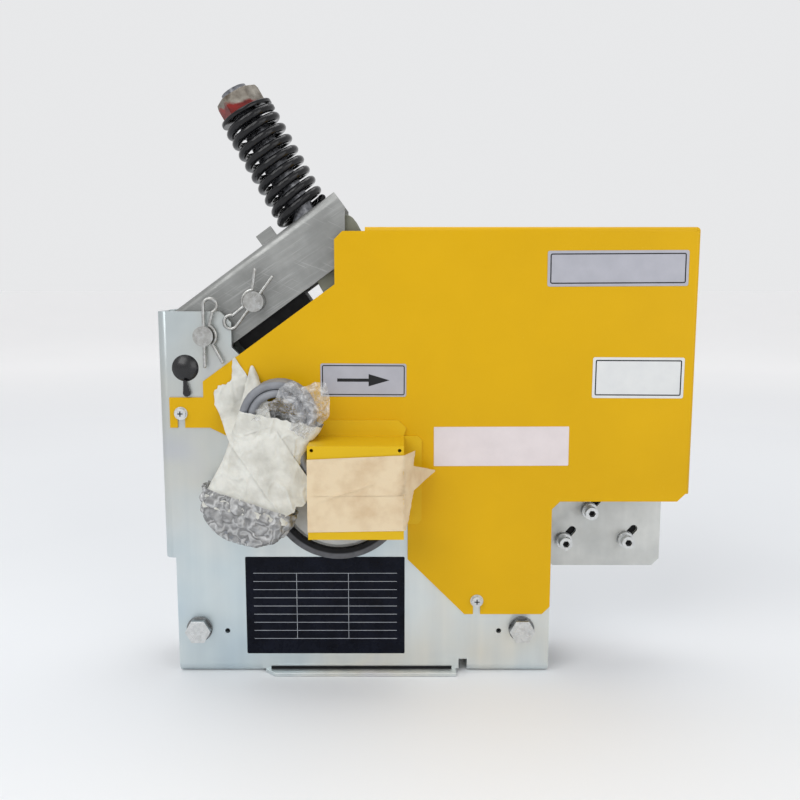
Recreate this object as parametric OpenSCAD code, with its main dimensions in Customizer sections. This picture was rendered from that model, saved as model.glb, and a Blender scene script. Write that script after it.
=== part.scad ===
// Overspeed governor for a lift: rope sheave between two folded plates, flyweights that trip a ratchet,
// and a spring-loaded arm whose shoe clamps the rope. Millimetres. X runs along the base, Y goes from the
// front plate to the rear plate, Z is up. The origin is the middle of the base bolt pattern.

/* [Frame] */
// Depth of the frame over both plates
frame_depth = 62; // [58:0.5:80]
// Thickness of the frame plates
plate_t = 4.5; // [3:0.5:5]
// Outer radius of the plate bends
bend_r = 7; // [6:0.5:9]
// Left edge of the plates at the flange
plate_left = -150; // [-165:1:-146]
// Left edge of the plates below the flange
foot_left = -141.5; // [-145:0.5:-138]
// Right edge of the plates
plate_right = 146.5; // [140:0.5:152]
// Top of the plates' head
plate_top = 281.5; // [278:0.5:300]
// Right edge of the plates' head
head_right = -94.5; // [-98:0.5:-90]
// Corner cut at the right of the head
head_cut = 8; // [3:0.5:12]
// Foot of the head's right edge
head_foot = 255; // [245:1:260]
// Top of the plates over the sheave
shoulder_top = 236; // [225:1:244]
// Corner cut at the right shoulder
shoulder_cut = 46; // [20:1:60]
// Lower end of the left flange
flange_foot = 93; // [70:1:120]
// Depth of the left flanges
flange_depth = 25; // [15:0.5:28]
// Depth of the feet
foot_depth = 26; // [22:0.5:27]
// Right end of the left foot
foot_inner_left = -76.5; // [-85:0.5:-75.5]
// Left end of the right foot
foot_inner_right = 83; // [82:0.5:90]
// Width of the bend relief beside the right foot
relief_w = 6.5; // [4:0.5:6.5]
// Height of the bend relief
relief_h = 11; // [10:0.5:16]
// Distance between the frame bolts
bolt_span = 250; // [244:1:256]
// Height of the frame bolts
bolt_z = 36; // [34:0.5:42]
// Thread diameter of the frame bolts
bolt_d = 10; // [8:1:10]
// Width across flats of the frame bolts
bolt_flats = 17; // [15:0.5:19]
// Height of the frame bolt heads
bolt_head_h = 6.5; // [5:0.5:9]
// Outer diameter of the frame spacers
spacer_d = 16; // [14:0.5:17]
// Diameter of the tooling holes beside the frame bolts
tooling_d = 4; // [3:0.5:6]
// Distance between the tooling holes
tooling_span = 211; // [200:1:214]
// Spacing of the base bolts along the base
mount_span_x = 224; // [216:1:232]
// Spacing of the base bolts across the base
mount_span_y = 28; // [26:0.5:29]
// Diameter of the base bolt holes
mount_hole_d = 11; // [9:0.5:11]
// Length of the cross plate under the frame
base_l = 149; // [130:1:150]
// Thickness of the cross plate
base_t = 3; // [2:0.5:5]
// How far the cross plate stands out of the frame
base_lip = 8; // [4:0.5:12]

/* [Sheave] */
// Place of the sheave's axis along the base
axis_x = -16; // [-18:0.5:-14]
// Height of the sheave's axis
axis_z = 145.5; // [144:0.5:147]
// Diameter of the governor rope
rope_d = 6; // [5:0.5:6.5]
// Pitch diameter of the rope groove
pitch_d = 190; // [188:1:192]
// How far the rope stands out of the rim
rope_proud = 1; // [0.5:0.1:1.5]
// Width of the rim
rim_w = 16; // [14:0.5:17]
// Radial thickness of the rim under the groove
rim_t = 10; // [8:0.5:11]
// Thickness of the sheave's web
web_t = 6; // [5:0.5:7]
// Number of lightening holes in the web
web_holes = 6; // [3:1:6]
// Diameter of the lightening holes
web_hole_d = 17; // [10:1:18]
// Diameter of the hub
hub_d = 44; // [38:1:48]
// Diameter of the shaft
shaft_d = 25; // [22:0.5:27]
// Diameter of the bearings
bearing_d = 47; // [44:1:50]
// Width of the bearings
bearing_w = 12; // [10:0.5:12]
// Running clearance between a pin and its bore
run_gap = 0.04; // [0.02:0.01:0.08]
// Clearance between parts that move past each other
air_gap = 0.5; // [0.3:0.1:1]
// Radius of the opening in the front plate
window_r = 47; // [45:0.5:50]
// Radius of the front bearing housing's boss
boss_r = 42.5; // [38:0.5:43]
// Radius of the bearing housings' flanges
housing_r = 62; // [58:0.5:66]
// Thickness of the housings' flanges
housing_t = 6; // [5:0.5:7]
// Outer radius of the rubber trim round the opening
trim_r = 53; // [51:0.5:55]
// Thickness of the rubber trim in front of the plate
trim_t = 1.5; // [1:0.1:2]

/* [Flyweights] */
// Radius of the flyweight pivots
weight_pivot_r = 56; // [54:0.5:58]
// Inner radius of the flyweights
weight_in_r = 38; // [36:0.5:40]
// Outer radius of the flyweights
weight_out_r = 74; // [71:0.5:75]
// Thickness of the flyweights
weight_t = 8; // [6:0.5:9]
// Diameter of the flyweight pins
weight_pin_d = 8; // [6:0.5:10]
// Height of the link pins over the flyweight pivots
link_rise = 38; // [37:0.5:40]
// Width of the weight link
link_w = 11; // [9:0.5:13]
// Thickness of the weight link
link_t = 3.5; // [3:0.5:4]
// Diameter of the link pins
link_pin_d = 5; // [4:0.5:6]
// Number of ratchet teeth
tooth_count = 20; // [12:1:28]
// Outer radius of the ratchet wheel
ratchet_r = 50; // [44:0.5:54]
// Depth of the ratchet teeth
tooth_h = 5; // [3:0.5:6]
// Radius of the pawl's pivot
pawl_pivot_r = 66; // [64:0.5:68]
// Diameter of the pawl's pin
pawl_pin_d = 7; // [5:0.5:8]

/* [Clamp arm] */
// Slope of the clamp arm at rest
arm_slope = 36; // [34:0.5:38]
// Place of the arm's pivot along the base
pivot_x = -114; // [-118:0.5:-111]
// Height of the arm's pivot
pivot_z = 263.5; // [260:0.5:265]
// Diameter of the pivot pins
pivot_d = 15; // [12:0.5:16]
// Width of the arm over its flanges
arm_w = 50; // [48:0.5:51]
// Thickness of the arm's sheet
arm_t = 4.5; // [3:0.5:5]
// Outer bend radius of the arm
arm_bend = 6.5; // [5:0.5:8]
// Height of the arm above its pivot line
arm_above = 29; // [26:0.5:32]
// Height of the arm below its pivot line
arm_below = 16.5; // [14:0.5:20]
// Length of the arm behind its pivot
arm_tail = 16.5; // [14:0.5:16.5]
// Length of the arm in front of its pivot
arm_reach = 139.5; // [134:0.5:142]
// Height of the arm's end above its pivot line, where the slanting cut starts
arm_nose = 15; // [8:0.5:20]
// Distance from the arm's pivot to the shoe's pivot
shoe_reach = 45; // [43:0.5:47]
// Turn of the arm from rest until the shoe clamps the rope
clamp_turn = 7; // [5:0.5:7.5]
// Width of the rope shoe
shoe_w = 24; // [20:0.5:30]
// Length of the rope shoe
shoe_l = 63; // [60:0.5:70]
// Diameter of the retaining clips' wire
clip_d = 2.4; // [1.6:0.1:3]

/* [Spring rod] */
// Slope of the rod from the vertical at rest
rod_slope = 29.4; // [28:0.2:31]
// Distance from the sheave's axis to the rod
trip_r = 79; // [76:0.5:81]
// Diameter of the rod
rod_d = 20; // [16:0.5:20]
// Width across flats of the rod's nuts
nut_flats = 30; // [27:0.5:32]
// Height of the rod's nuts
nut_h = 14; // [12:0.5:16]
// Outer diameter of the clamp spring
spring_d = 43.5; // [40:0.5:45]
// Wire diameter of the clamp spring
spring_wire = 6.75; // [5:0.25:7]
// Length of the clamp spring at rest
spring_l = 85; // [82:0.5:96]
// Number of the clamp spring's turns
spring_turns = 9; // [7:1:9]
// Thickness of the washer on the clamp spring
seat_t = 3; // [2:0.5:5]
// Thickness of the yoke's sheet
yoke_t = 4; // [3:0.5:4]

/* [Cover] */
// Thickness of the covers' sheet
sheet_t = 1.6; // [1.2:0.1:2]
// Top of the cover
cover_top = 343; // [341:0.5:352]
// Right side of the cover
cover_right = 250.5; // [249:0.5:262]
// Left side of the cover over the arm
cover_left = -17.5; // [-19:0.5:-15]
// Underside of the cover's right part
cover_under = 137.5; // [135:0.5:142]
// Underside of the cover's lower part
cover_foot = 48; // [45:0.5:52]
// Depth of the cover's folded sides
cover_depth = 60; // [50:0.5:62]
// Left side of the encoder guard
guard_left = -35; // [-36:0.5:-34]
// Right side of the encoder guard
guard_right = 33.5; // [32:0.5:35]
// Underside of the encoder guard
guard_foot = 120.5; // [118:0.5:124]
// Top of the encoder guard
guard_top = 188.5; // [187:0.5:190]
// How far the encoder guard stands out of the cover
guard_depth = 42; // [41:0.5:46]
// Width of the guard's flanges
guard_lip = 12; // [10:0.5:14]
// Diameter of the encoder
encoder_d = 34; // [30:0.5:35]
// Length of the encoder
encoder_l = 30; // [26:0.5:31]
// Diameter of the encoder cable
cable_d = 6; // [5.5:0.5:6]
// Diameter of the rubber plug
plug_d = 20; // [18:0.5:22]

/* [Switch] */
// Right edge of the switch bracket
bracket_right = 246.5; // [240:0.5:248]
// Left edge of the switch bracket
bracket_left = 152; // [149:0.5:156]
// Underside of the switch bracket
bracket_foot = 68.5; // [66:0.5:74]
// Top of the switch bracket
bracket_top = 250; // [248:0.5:262]
// Thickness of the switch bracket
bracket_t = 3; // [2:0.5:4]
// Width of the switch
switch_w = 46; // [40:0.5:50]
// Height of the switch
switch_h = 56; // [50:0.5:60]
// Depth of the switch
switch_depth = 28; // [24:0.5:29]
// Length of the switch lever
lever_l = 112; // [110:0.5:113]

/* [Hidden] */
$fn = 64;

// Depths of the frame
front_y = -frame_depth / 2;
rear_y = frame_depth / 2;
front_in = front_y + plate_t;
rear_in = rear_y - plate_t;
cover_y = front_y - sheet_t;
eps = 0.01;
// Clearance of a screw or pin in a hole of the body that carries it
seat_gap = 0.05;
bolt_x = bolt_span / 2;
tooling_x = 2;
washer_t = 2;
thread_out = 4;
// Places on the sheave
axis = [axis_x, axis_z];
pitch_r = pitch_d / 2;
rim_r = pitch_r + rope_d / 2 - rope_proud;
rim_in = rim_r - rim_t - rope_d / 2;
hub_r = hub_d / 2;
shaft_r = shaft_d / 2;
bearing_r = bearing_d / 2;
weight_y = -web_t / 2 - 1;
link_y = weight_y - weight_t - air_gap;
ratchet_y = web_t / 2 + 1;
trip_y = rim_w / 2 + 2;
trip_t = 4.5;
front_bearing_y = front_y + 3;
rear_bearing_y = rear_y - bearing_w / 2;
web_hole_at = (hub_r + rim_in) / 2;
// Places on the arm
pivot = [pivot_x, pivot_z];
shoe_drop = -1.4;
shoe_at = pivot + turn([shoe_reach, shoe_drop], arm_slope);
shoe_pin_r = pivot_d / 2;
clamp_move = turn(shoe_at - pivot, -clamp_turn) - (shoe_at - pivot);
nose_slope = tan(90 - arm_slope);
// Places on the rod
foot = axis + turn([trip_r, 0], rod_slope);
rod_up = [-sin(rod_slope), cos(rod_slope)];
arm_up = [-sin(arm_slope), cos(arm_slope)];
web_at = (arm_above - (foot - pivot) * arm_up) / (rod_up * arm_up);
spring_at = web_at + air_gap;
seat_at = spring_at + spring_l;
rod_top = seat_at + seat_t + nut_h + thread_out;
yoke_drop = 14;
yoke_head = 15;
yoke_leg = 37;
yoke_top = web_at - yoke_drop;
yoke_web = yoke_top - yoke_head;
yoke_low = yoke_web - yoke_leg;
yoke_y = trip_y + trip_t + air_gap;
yoke_left = -15;
yoke_right = 32;
// Cable: where it leaves the gland, and the hank that it is folded into
lead_y = -54.5;
lead_points = [[-34, lead_y, 163.5], [-37.4, lead_y, 167.5], [-39.5, lead_y, 171.6],
  [-40.8, lead_y, 176], [-41, lead_y, 180.5]];
hank_l = 124;
hank_w = 54;
hank_t = 24.5;
hank_core = hank_w - 4 * cable_d;
hank_slope = 19;
hank_mid = [-69.9, 172];
hank_gap = 0.3;
hank_back = cover_y - hank_gap;
connector_d = 12;
connector_l = 40;
// Colours
zinc = [0.78, 0.81, 0.83];
steel = [0.6, 0.61, 0.62];
black = [0.08, 0.08, 0.09];
yellow = [0.85, 0.68, 0.08];
rubber = [0.1, 0.1, 0.1];
olive = [0.5, 0.48, 0.36];

// A point of the XZ plane turned anticlockwise as seen from the front
function turn(p, a) = [p[0] * cos(a) - p[1] * sin(a), p[0] * sin(a) + p[1] * cos(a)];

// Extrudes an XZ outline between two depths
module slab(from_y, to_y) {
  translate([0, to_y, 0])
    rotate([90, 0, 0])
      linear_extrude(to_y - from_y)
        children();
}

// A round bar along Y at a point of the XZ plane
module bar(p, r, from_y, to_y) {
  translate([p[0], to_y, p[1]])
    rotate([90, 0, 0])
      cylinder(r = r, h = to_y - from_y);
}

// A hexagon along Y
module hex(p, flats, from_y, to_y) {
  translate([p[0], to_y, p[1]])
    rotate([90, 0, 0])
      cylinder(d = flats / cos(30), h = to_y - from_y, $fn = 6);
}

// Children drawn in the arm's own directions: first along the arm, then away from it
module on_arm() {
  translate(pivot)
    rotate(arm_slope)
      children();
}

// Solids drawn with Z along the rod, from the rod's foot
module on_rod(at) {
  translate([foot[0], 0, foot[1]])
    rotate([0, -rod_slope, 0])
      translate([0, 0, at])
        children();
}

// A rounded corner of sheet in plan, turning from the +X side to the +Y side
module bend_plan(t) {
  intersection() {
    difference() {
      circle(r = bend_r);
      circle(r = bend_r - t);
    }
    translate([-bend_r - 1, -bend_r - 1])
      square(bend_r + 1);
  }
}

// Outline of a frame plate without its folded edges
module plate_outline() {
  polygon([
    [plate_left + bend_r, flange_foot], [foot_left, flange_foot],
    [foot_left, bend_r], [foot_inner_left, bend_r], [foot_inner_left, base_t],
    [foot_inner_right - relief_w, base_t], [foot_inner_right - relief_w, relief_h],
    [foot_inner_right, relief_h], [foot_inner_right, bend_r], [plate_right, bend_r],
    [plate_right, shoulder_top - shoulder_cut], [plate_right - shoulder_cut, shoulder_top],
    [head_right + (head_foot - shoulder_top), shoulder_top], [head_right, head_foot],
    [head_right, plate_top - head_cut], [head_right - head_cut, plate_top],
    [plate_left + bend_r, plate_top]
  ]);
}

// A frame plate at the front, with its left flange and its feet folded back
module folded_plate() {
  slab(front_y, front_in)
    plate_outline();
  translate([plate_left + bend_r, front_y + bend_r, flange_foot])
    linear_extrude(plate_top - flange_foot) {
      bend_plan(plate_t);
      translate([-bend_r, 0])
        square([plate_t, flange_depth - bend_r]);
    }
  for (f = [[foot_left, foot_inner_left], [foot_inner_right, plate_right]])
    translate([f[1], front_y + bend_r, bend_r])
      rotate([0, -90, 0])
        linear_extrude(f[1] - f[0]) {
          bend_plan(plate_t);
          translate([-bend_r, 0])
            square([plate_t, foot_depth - bend_r]);
        }
}

// Holes that both plates have
module shared_holes() {
  for (s = [-1, 1]) {
    bar([s * bolt_x, bolt_z], bolt_d / 2 + seat_gap, front_y - 1, front_in + 1);
    for (y = [-1, 1])
      translate([s * mount_span_x / 2, y * mount_span_y / 2, -1])
        cylinder(d = mount_hole_d, h = plate_t + 2);
  }
  bar(pivot, shoe_pin_r + seat_gap, front_y - 1, front_in + 1);
}

module front_plate() {
  color(zinc)
    difference() {
      folded_plate();
      shared_holes();
      bar(axis, window_r, front_y - 1, front_in + 1);
      bar(plug_at, plug_hole_r, front_y - 1, front_in + 1);
      for (s = [-1, 1])
        bar([s * tooling_span / 2 + tooling_x, bolt_z - tooling_x], tooling_d / 2, front_y - 1, front_in + 1);
      for (p = cover_screw_at)
        bar(p, screw_r + seat_gap, front_y - 1, front_in + 1);
    }
}
plug_at = [-129.5, 239.5];
plug_hole_r = 6;
screw_r = 2;
cover_screw_at = [[-133.5, 205.5], [90, 59]];

// The wing of the rear plate that carries the switch bracket
module wing_outline() {
  polygon([
    [plate_right - 1, bracket_foot + wing_in], [bracket_right - wing_in, bracket_foot + wing_in],
    [bracket_right - wing_in, bracket_top - wing_in], [plate_right - wing_slant, bracket_top - wing_in],
    [plate_right - wing_slant, shoulder_top - shoulder_cut], [plate_right - 1, shoulder_top - shoulder_cut - 1]
  ]);
}
wing_in = 10;
wing_slant = 20;

module rear_plate() {
  color(zinc)
    difference() {
      union() {
        mirror([0, 1, 0])
          folded_plate();
        slab(rear_in, rear_y)
          wing_outline();
      }
      mirror([0, 1, 0])
        shared_holes();
      bar(axis, rear_boss_r + seat_gap, rear_in - 1, rear_y + 1);
      for (p = bracket_screw_at)
        bar(p, bracket_screw_r + seat_gap, rear_in - 1, rear_y + 1);
    }
}
rear_pad_r = 44.5;
rear_boss_r = 29;

module base_plate() {
  cut = base_lip;
  color(zinc)
    linear_extrude(base_t)
      polygon([
        [-base_l / 2, front_y - base_lip + cut], [-base_l / 2 + cut, front_y - base_lip],
        [base_l / 2, front_y - base_lip], [base_l / 2, rear_y + base_lip],
        [-base_l / 2, rear_y + base_lip]
      ]);
}

module frame_bolts() {
  color(steel)
    for (s = [-1, 1]) {
      hex([s * bolt_x, bolt_z], bolt_flats, front_y - washer_t - bolt_head_h, front_y - washer_t);
      bar([s * bolt_x, bolt_z], bolt_d, front_y - washer_t, front_y);
      bar([s * bolt_x, bolt_z], bolt_d / 2, front_y - washer_t, rear_y + bolt_head_h + thread_out);
    }
}

module frame_nuts() {
  color(steel)
    for (s = [-1, 1])
      difference() {
        hex([s * bolt_x, bolt_z], bolt_flats, rear_y, rear_y + bolt_head_h);
        bar([s * bolt_x, bolt_z], bolt_d / 2 + seat_gap, rear_y - 1, rear_y + bolt_head_h + 1);
      }
}

module frame_spacers() {
  color(steel)
    for (s = [-1, 1])
      difference() {
        bar([s * bolt_x, bolt_z], spacer_d / 2, front_in, rear_in);
        bar([s * bolt_x, bolt_z], bolt_d / 2 + seat_gap, front_in - 1, rear_in + 1);
      }
}

module front_housing() {
  color(zinc)
    difference() {
      union() {
        bar(axis, housing_r, front_in, front_in + housing_t);
        bar(axis, boss_r, front_y + 1, front_in + housing_t);
        bar(axis, bearing_r + housing_t, front_in, front_bearing_y + bearing_w);
      }
      bar(axis, bearing_r + seat_gap, front_bearing_y, front_bearing_y + bearing_w + 1);
      bar(axis, shaft_r + air_gap, front_y - 1, front_bearing_y + 1);
    }
}

module rear_housing() {
  color(zinc)
    difference() {
      union() {
        bar(axis, rear_pad_r, rear_y, rear_y + housing_t);
        bar(axis, rear_boss_r, rear_in - 1, rear_y + housing_t + 2);
      }
      bar(axis, bearing_r + seat_gap, rear_in - 2, rear_bearing_y + bearing_w);
      bar(axis, shaft_r + air_gap, rear_in - 2, rear_y + housing_t + 4);
    }
}

// A sealed ball bearing with its rings and shields
module bearing(from_y) {
  groove = 1;
  ring = 3.5;
  color(steel)
    difference() {
      bar(axis, bearing_r, from_y, from_y + bearing_w);
      bar(axis, shaft_r + run_gap, from_y - 1, from_y + bearing_w + 1);
      for (y = [from_y - groove, from_y + bearing_w - groove])
        difference() {
          bar(axis, bearing_r - ring, y, y + 2 * groove);
          bar(axis, shaft_r + ring, y - 1, y + 2 * groove + 1);
        }
    }
}

module front_bearing() {
  bearing(front_bearing_y);
}

module rear_bearing() {
  bearing(rear_bearing_y);
}

module edge_trim() {
  color(rubber)
    difference() {
      union() {
        bar(axis, trim_r, front_y - trim_t, front_y);
        bar(axis, window_r - seat_gap, front_y - trim_t, front_in);
      }
      bar(axis, window_r - trim_t, front_y - trim_t - 1, front_in + 1);
      slab(front_y - trim_t - 1, front_y)
        offset(delta = air_gap)
          cover_outline();
    }
}

// Outline of the main cover's front panel
module cover_outline() {
  polygon([
    [cover_left, cover_top - fold_r - cover_cut], [cover_left + cover_cut, cover_top - fold_r],
    [cover_right - fold_r, cover_top - fold_r], [cover_right - fold_r, cover_under + cover_cut],
    [cover_right - fold_r - cover_cut, cover_under],
    [plate_right + cover_cut, cover_under], [plate_right, cover_under - cover_cut],
    [plate_right, cover_foot + cover_cut], [plate_right - cover_cut, cover_foot],
    [guard_right + cover_bay + 3, cover_foot], [guard_right + 3, cover_foot + cover_bay],
    [guard_right + 3, cover_mid], [cover_tail, cover_mid],
    [cover_tail - 2 * cover_cut, cover_mid + cover_cut], [cover_tab_left, cover_mid + cover_cut],
    [cover_tab_left, cover_tab_top], [cover_tab_right, cover_tab_top],
    [cover_tab_right, cover_tab_top + 2 * cover_cut],
    [cover_left, cover_tab_top + 2 * cover_cut + (cover_left - cover_tab_right) * tan(arm_slope)]
  ]);
}
cover_cut = 6;
cover_bay = 44;
cover_mid = 188.5;
cover_tail = -100;
cover_tab_left = -142;
cover_tab_right = -116.5;
cover_tab_top = 217.5;
cover_slot_w = 5.5;
cover_fold_left = 5;
fold_r = 3;

// A quarter turn of sheet in plan, turning from the +X side to the +Y side
module fold_plan() {
  intersection() {
    difference() {
      circle(r = fold_r);
      circle(r = fold_r - sheet_t);
    }
    translate([-fold_r - 1, -fold_r - 1])
      square(fold_r + 1);
  }
}

// A folded side: the fold and the flat sheet behind it, in plan
module folded_side(depth) {
  fold_plan();
  translate([-fold_r, 0])
    square([sheet_t, depth - fold_r]);
}

module main_cover() {
  color(yellow) {
    difference() {
      slab(cover_y, front_y)
        cover_outline();
      for (p = cover_screw_at)
        slab(cover_y - 1, front_y + 1) {
          translate(p)
            circle(d = cover_slot_w);
          translate(p - [cover_slot_w / 2, 2 * cover_cut])
            square([cover_slot_w, 2 * cover_cut]);
        }
    }
    translate([cover_right - fold_r, cover_y + fold_r, cover_under + cover_cut])
      mirror([1, 0, 0])
        linear_extrude(cover_top - fold_r - cover_under - cover_cut)
          folded_side(cover_depth);
    translate([cover_fold_left, cover_y + fold_r, cover_top - fold_r])
      rotate([0, 90, 0])
        linear_extrude(cover_right - fold_r - cover_fold_left)
          folded_side(cover_depth);
  }
}

// A pan-head screw with a cross recess and a washer, on the cover at a point
module pan_screw(p) {
  washer = 0.8;
  head_h = 2.4;
  cross_l = 4;
  cross_w = 0.9;
  difference() {
    union() {
      bar(p, 2 * screw_r, cover_y - washer - head_h, cover_y - washer);
      bar(p, 2 * screw_r + 1, cover_y - washer, cover_y);
      bar(p, screw_r, cover_y - washer, front_in + 3);
    }
    slab(cover_y - washer - head_h - 1, cover_y - washer - 1)
      translate(p) {
        square([cross_l, cross_w], center = true);
        square([cross_w, cross_l], center = true);
      }
  }
}

module cover_screws() {
  color(steel)
    for (p = cover_screw_at)
      pan_screw(p);
}

// The folded box over the encoder: open below and behind, with flanges on the cover
module encoder_guard() {
  guard_y = cover_y - guard_depth;
  notch = 15;
  lip_left = guard_left + guard_lip / 3;
  flange_right = guard_right + guard_lip + sheet_t;
  corner = cover_cut / 2;
  relief_r = 1.3;
  relief_in = 2 * relief_r + air_gap;
  color(yellow)
    difference() {
      union() {
        difference() {
          slab(guard_y, cover_y)
            translate([guard_left, guard_foot])
              square([guard_right - guard_left, guard_top - guard_foot]);
          slab(guard_y + sheet_t, cover_y + 1)
            translate([guard_left + sheet_t, guard_foot - 1])
              square([guard_right - guard_left - 2 * sheet_t, guard_top - guard_foot - sheet_t + 1]);
        }
        slab(cover_y - sheet_t, cover_y) {
          polygon([
            [lip_left, guard_top - eps], [guard_right, guard_top - eps],
            [guard_right + 2, guard_top + guard_lip / 2], [guard_right - 4, guard_top + guard_lip],
            [lip_left, guard_top + guard_lip]
          ]);
          polygon([
            [guard_right - eps, guard_foot], [flange_right - corner, guard_foot],
            [flange_right, guard_foot + corner], [flange_right, guard_top - corner],
            [flange_right - corner, guard_top], [guard_right - eps, guard_top]
          ]);
        }
      }
      translate([guard_left - 1, lead_y - notch / 2, guard_mouth - notch / 2])
        cube([sheet_t + 2, notch, notch]);
      for (x = [guard_left + relief_in, guard_right - relief_in])
        bar([x, guard_top - relief_in], relief_r, guard_y - 1, guard_y + sheet_t + 1);
    }
}
guard_mouth = 162;

// Encoder body on the shaft's front end
encoder_y = cover_y - guard_depth + sheet_t + 4;
module encoder() {
  rim = 2;
  color(black)
    difference() {
      union() {
        bar(axis, encoder_d / 2, encoder_y + rim, encoder_y + encoder_l);
        bar(axis, encoder_d / 2 - rim, encoder_y, encoder_y + rim);
      }
      bar(axis, stub_r + run_gap, encoder_y + encoder_l / 2, encoder_y + encoder_l + 1);
    }
}
stub_r = 5;

module encoder_stay() {
  stay_t = 1.5;
  stay_h = 16;
  color(steel)
    difference() {
      slab(encoder_y + encoder_l, encoder_y + encoder_l + stay_t)
        translate([axis_x - stay_h / 2, axis_z - stay_h / 2])
          square([guard_right - sheet_t - axis_x + stay_h / 2, stay_h]);
      bar(axis, stub_r + 1, encoder_y, 0);
    }
}

module cable_gland() {
  length = 9;
  color(black)
    translate([axis_x, lead_y, axis_z])
      rotate([0, -45, 0])
        translate([0, 0, encoder_d / 2])
          difference() {
            cylinder(d = cable_d + 4, h = length);
            cylinder(d = cable_d + 2 * seat_gap, h = 2 * length, center = true);
          }
}

// A tube of eight sides swept along a route that stays at one depth
module swept_tube(points, d) {
  sides = 8;
  last = len(points) - 1;
  function along(i) = points[min(i + 1, last)] - points[max(i - 1, 0)];
  function ring(i) = let (v = along(i) / norm(along(i)), side = [v[2], 0, -v[0]])
    [for (k = [0:sides - 1]) points[i] + d / 2 * (side * cos(360 * k / sides)
      + [0, 1, 0] * sin(360 * k / sides))];
  polyhedron(
    points = [for (i = [0:last]) each ring(i)],
    faces = concat(
      [[for (k = [0:sides - 1]) k]],
      [for (i = [0:last - 1]) for (k = [0:sides - 1])
        [i * sides + k, (i + 1) * sides + k, (i + 1) * sides + (k + 1) % sides, i * sides + (k + 1) % sides]],
      [[for (k = [sides - 1:-1:0]) last * sides + k]]
    )
  );
}

module cable_lead() {
  color(steel)
    swept_tube(lead_points, cable_d);
}

// Outline of the folded cable: two straight runs and a fold at each end, of that width
module hank_outline(w) {
  run = (hank_l - hank_w) / 2;
  square([w, 2 * run], center = true);
  for (s = [-1, 1])
    translate([0, s * run])
      circle(d = w);
}

module cable_hank() {
  color(steel)
    slab(hank_back - hank_t, hank_back)
      translate(hank_mid)
        rotate(-hank_slope)
          difference() {
            hank_outline(hank_w);
            hank_outline(hank_core);
          }
}

// The connector, tucked into the hank against its left run
module cable_connector() {
  grip = 0.6 * connector_l;
  color(black)
    translate([hank_mid[0], hank_back - hank_t + connector_d / 2, hank_mid[1]])
      rotate([0, hank_slope, 0])
        translate([connector_d / 2 + seat_gap - hank_core / 2, 0, -connector_l / 2]) {
          cylinder(d = connector_d, h = grip, center = true);
          cylinder(d = connector_d - 2, h = connector_l, center = true);
        }
}

// Dust plug: a shank in the plate, a domed head, and a pull tab that hangs below it
module rubber_plug() {
  dome = 4;
  plug_r = plug_d / 2;
  dome_r = (plug_r * plug_r + dome * dome) / (2 * dome);
  tab_r = 2.8;
  tab_t = 3;
  neck_r = 1.1;
  tab_at = plug_at + [neck_r, -plug_r - 3 * tab_r];
  color(rubber) {
    bar(plug_at, plug_hole_r - seat_gap, front_y, front_in + 2);
    intersection() {
      bar(plug_at, plug_d, front_y - 2 * dome, front_y);
      translate([plug_at[0], front_y + dome_r - dome, plug_at[1]])
        sphere(r = dome_r);
    }
    slab(front_y - tab_t, front_y) {
      translate(tab_at)
        circle(r = tab_r);
      polygon([
        plug_at + [-neck_r, 1 - plug_r], tab_at + [-0.95 * tab_r, 0],
        tab_at + [0.95 * tab_r, 0], plug_at + [neck_r, 1 - plug_r]
      ]);
    }
  }
}

// A pin along Y with a head at the rear and a cross hole for its clip
module clip_pin(p, from_y, to_y, lean) {
  head_t = 3;
  color(steel)
    difference() {
      union() {
        bar(p, shoe_pin_r, from_y, to_y);
        bar(p, shoe_pin_r + 3, to_y, to_y + head_t);
      }
      translate([p[0], from_y + clip_in, p[1]])
        rotate([0, lean, 0])
          cylinder(d = clip_d + 2 * seat_gap, h = 4 * pivot_d, center = true);
    }
}
clip_in = 4;
shoe_clip_lean = 217;
pin_proud = 8;
shoe_pin_y = front_y - clip_in - clip_d / 2 - air_gap;

module pivot_pin() {
  clip_pin(pivot, front_y - pin_proud, rear_y, 0);
}

module shoe_pin() {
  clip_pin(shoe_at, shoe_pin_y, arm_w / 2, shoe_clip_lean);
}

// A ring segment of wire in the XZ plane, from one angle to another, about a point
module wire_arc(p, r, from_a, to_a) {
  translate([p[0], 0, p[1]])
    rotate([90, 0, 0])
      rotate(from_a)
        rotate_extrude(angle = to_a - from_a)
          translate([r, 0])
            circle(d = clip_d, $fn = 16);
}

// A straight piece of wire in the XZ plane with round ends
module wire(p, q) {
  v = q - p;
  translate([p[0], 0, p[1]])
    rotate([0, atan2(v[0], v[1]), 0]) {
      cylinder(d = clip_d, h = norm(v), $fn = 16);
      sphere(d = clip_d, $fn = 16);
      translate([0, 0, norm(v)])
        sphere(d = clip_d, $fn = 16);
    }
}

// A hairpin clip: a straight leg through the pin, a loop above it, and a leg round the pin
module hairpin(p, y) {
  loop_r = 5;
  loop_end = -70;
  hug = shoe_pin_r + clip_d / 2 + seat_gap;
  hug_from = -45;
  hug_to = 62;
  rise = 3 * loop_r + shoe_pin_r;
  loop_at = [loop_r, rise];
  flare = [7, -13];
  hug_foot = hug * [cos(hug_from), sin(hug_from)];
  translate([p[0], y, p[1]]) {
    wire([0, -rise], [0, rise]);
    wire_arc(loop_at, loop_r, loop_end, 180);
    wire(hug * [cos(hug_to), sin(hug_to)], loop_at + loop_r * [cos(loop_end), sin(loop_end)]);
    wire_arc([0, 0], hug, hug_from, hug_to);
    wire(hug_foot, hug_foot + flare);
  }
}

module pivot_clip() {
  color(steel)
    hairpin(pivot, front_y - pin_proud + clip_in);
}

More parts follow.
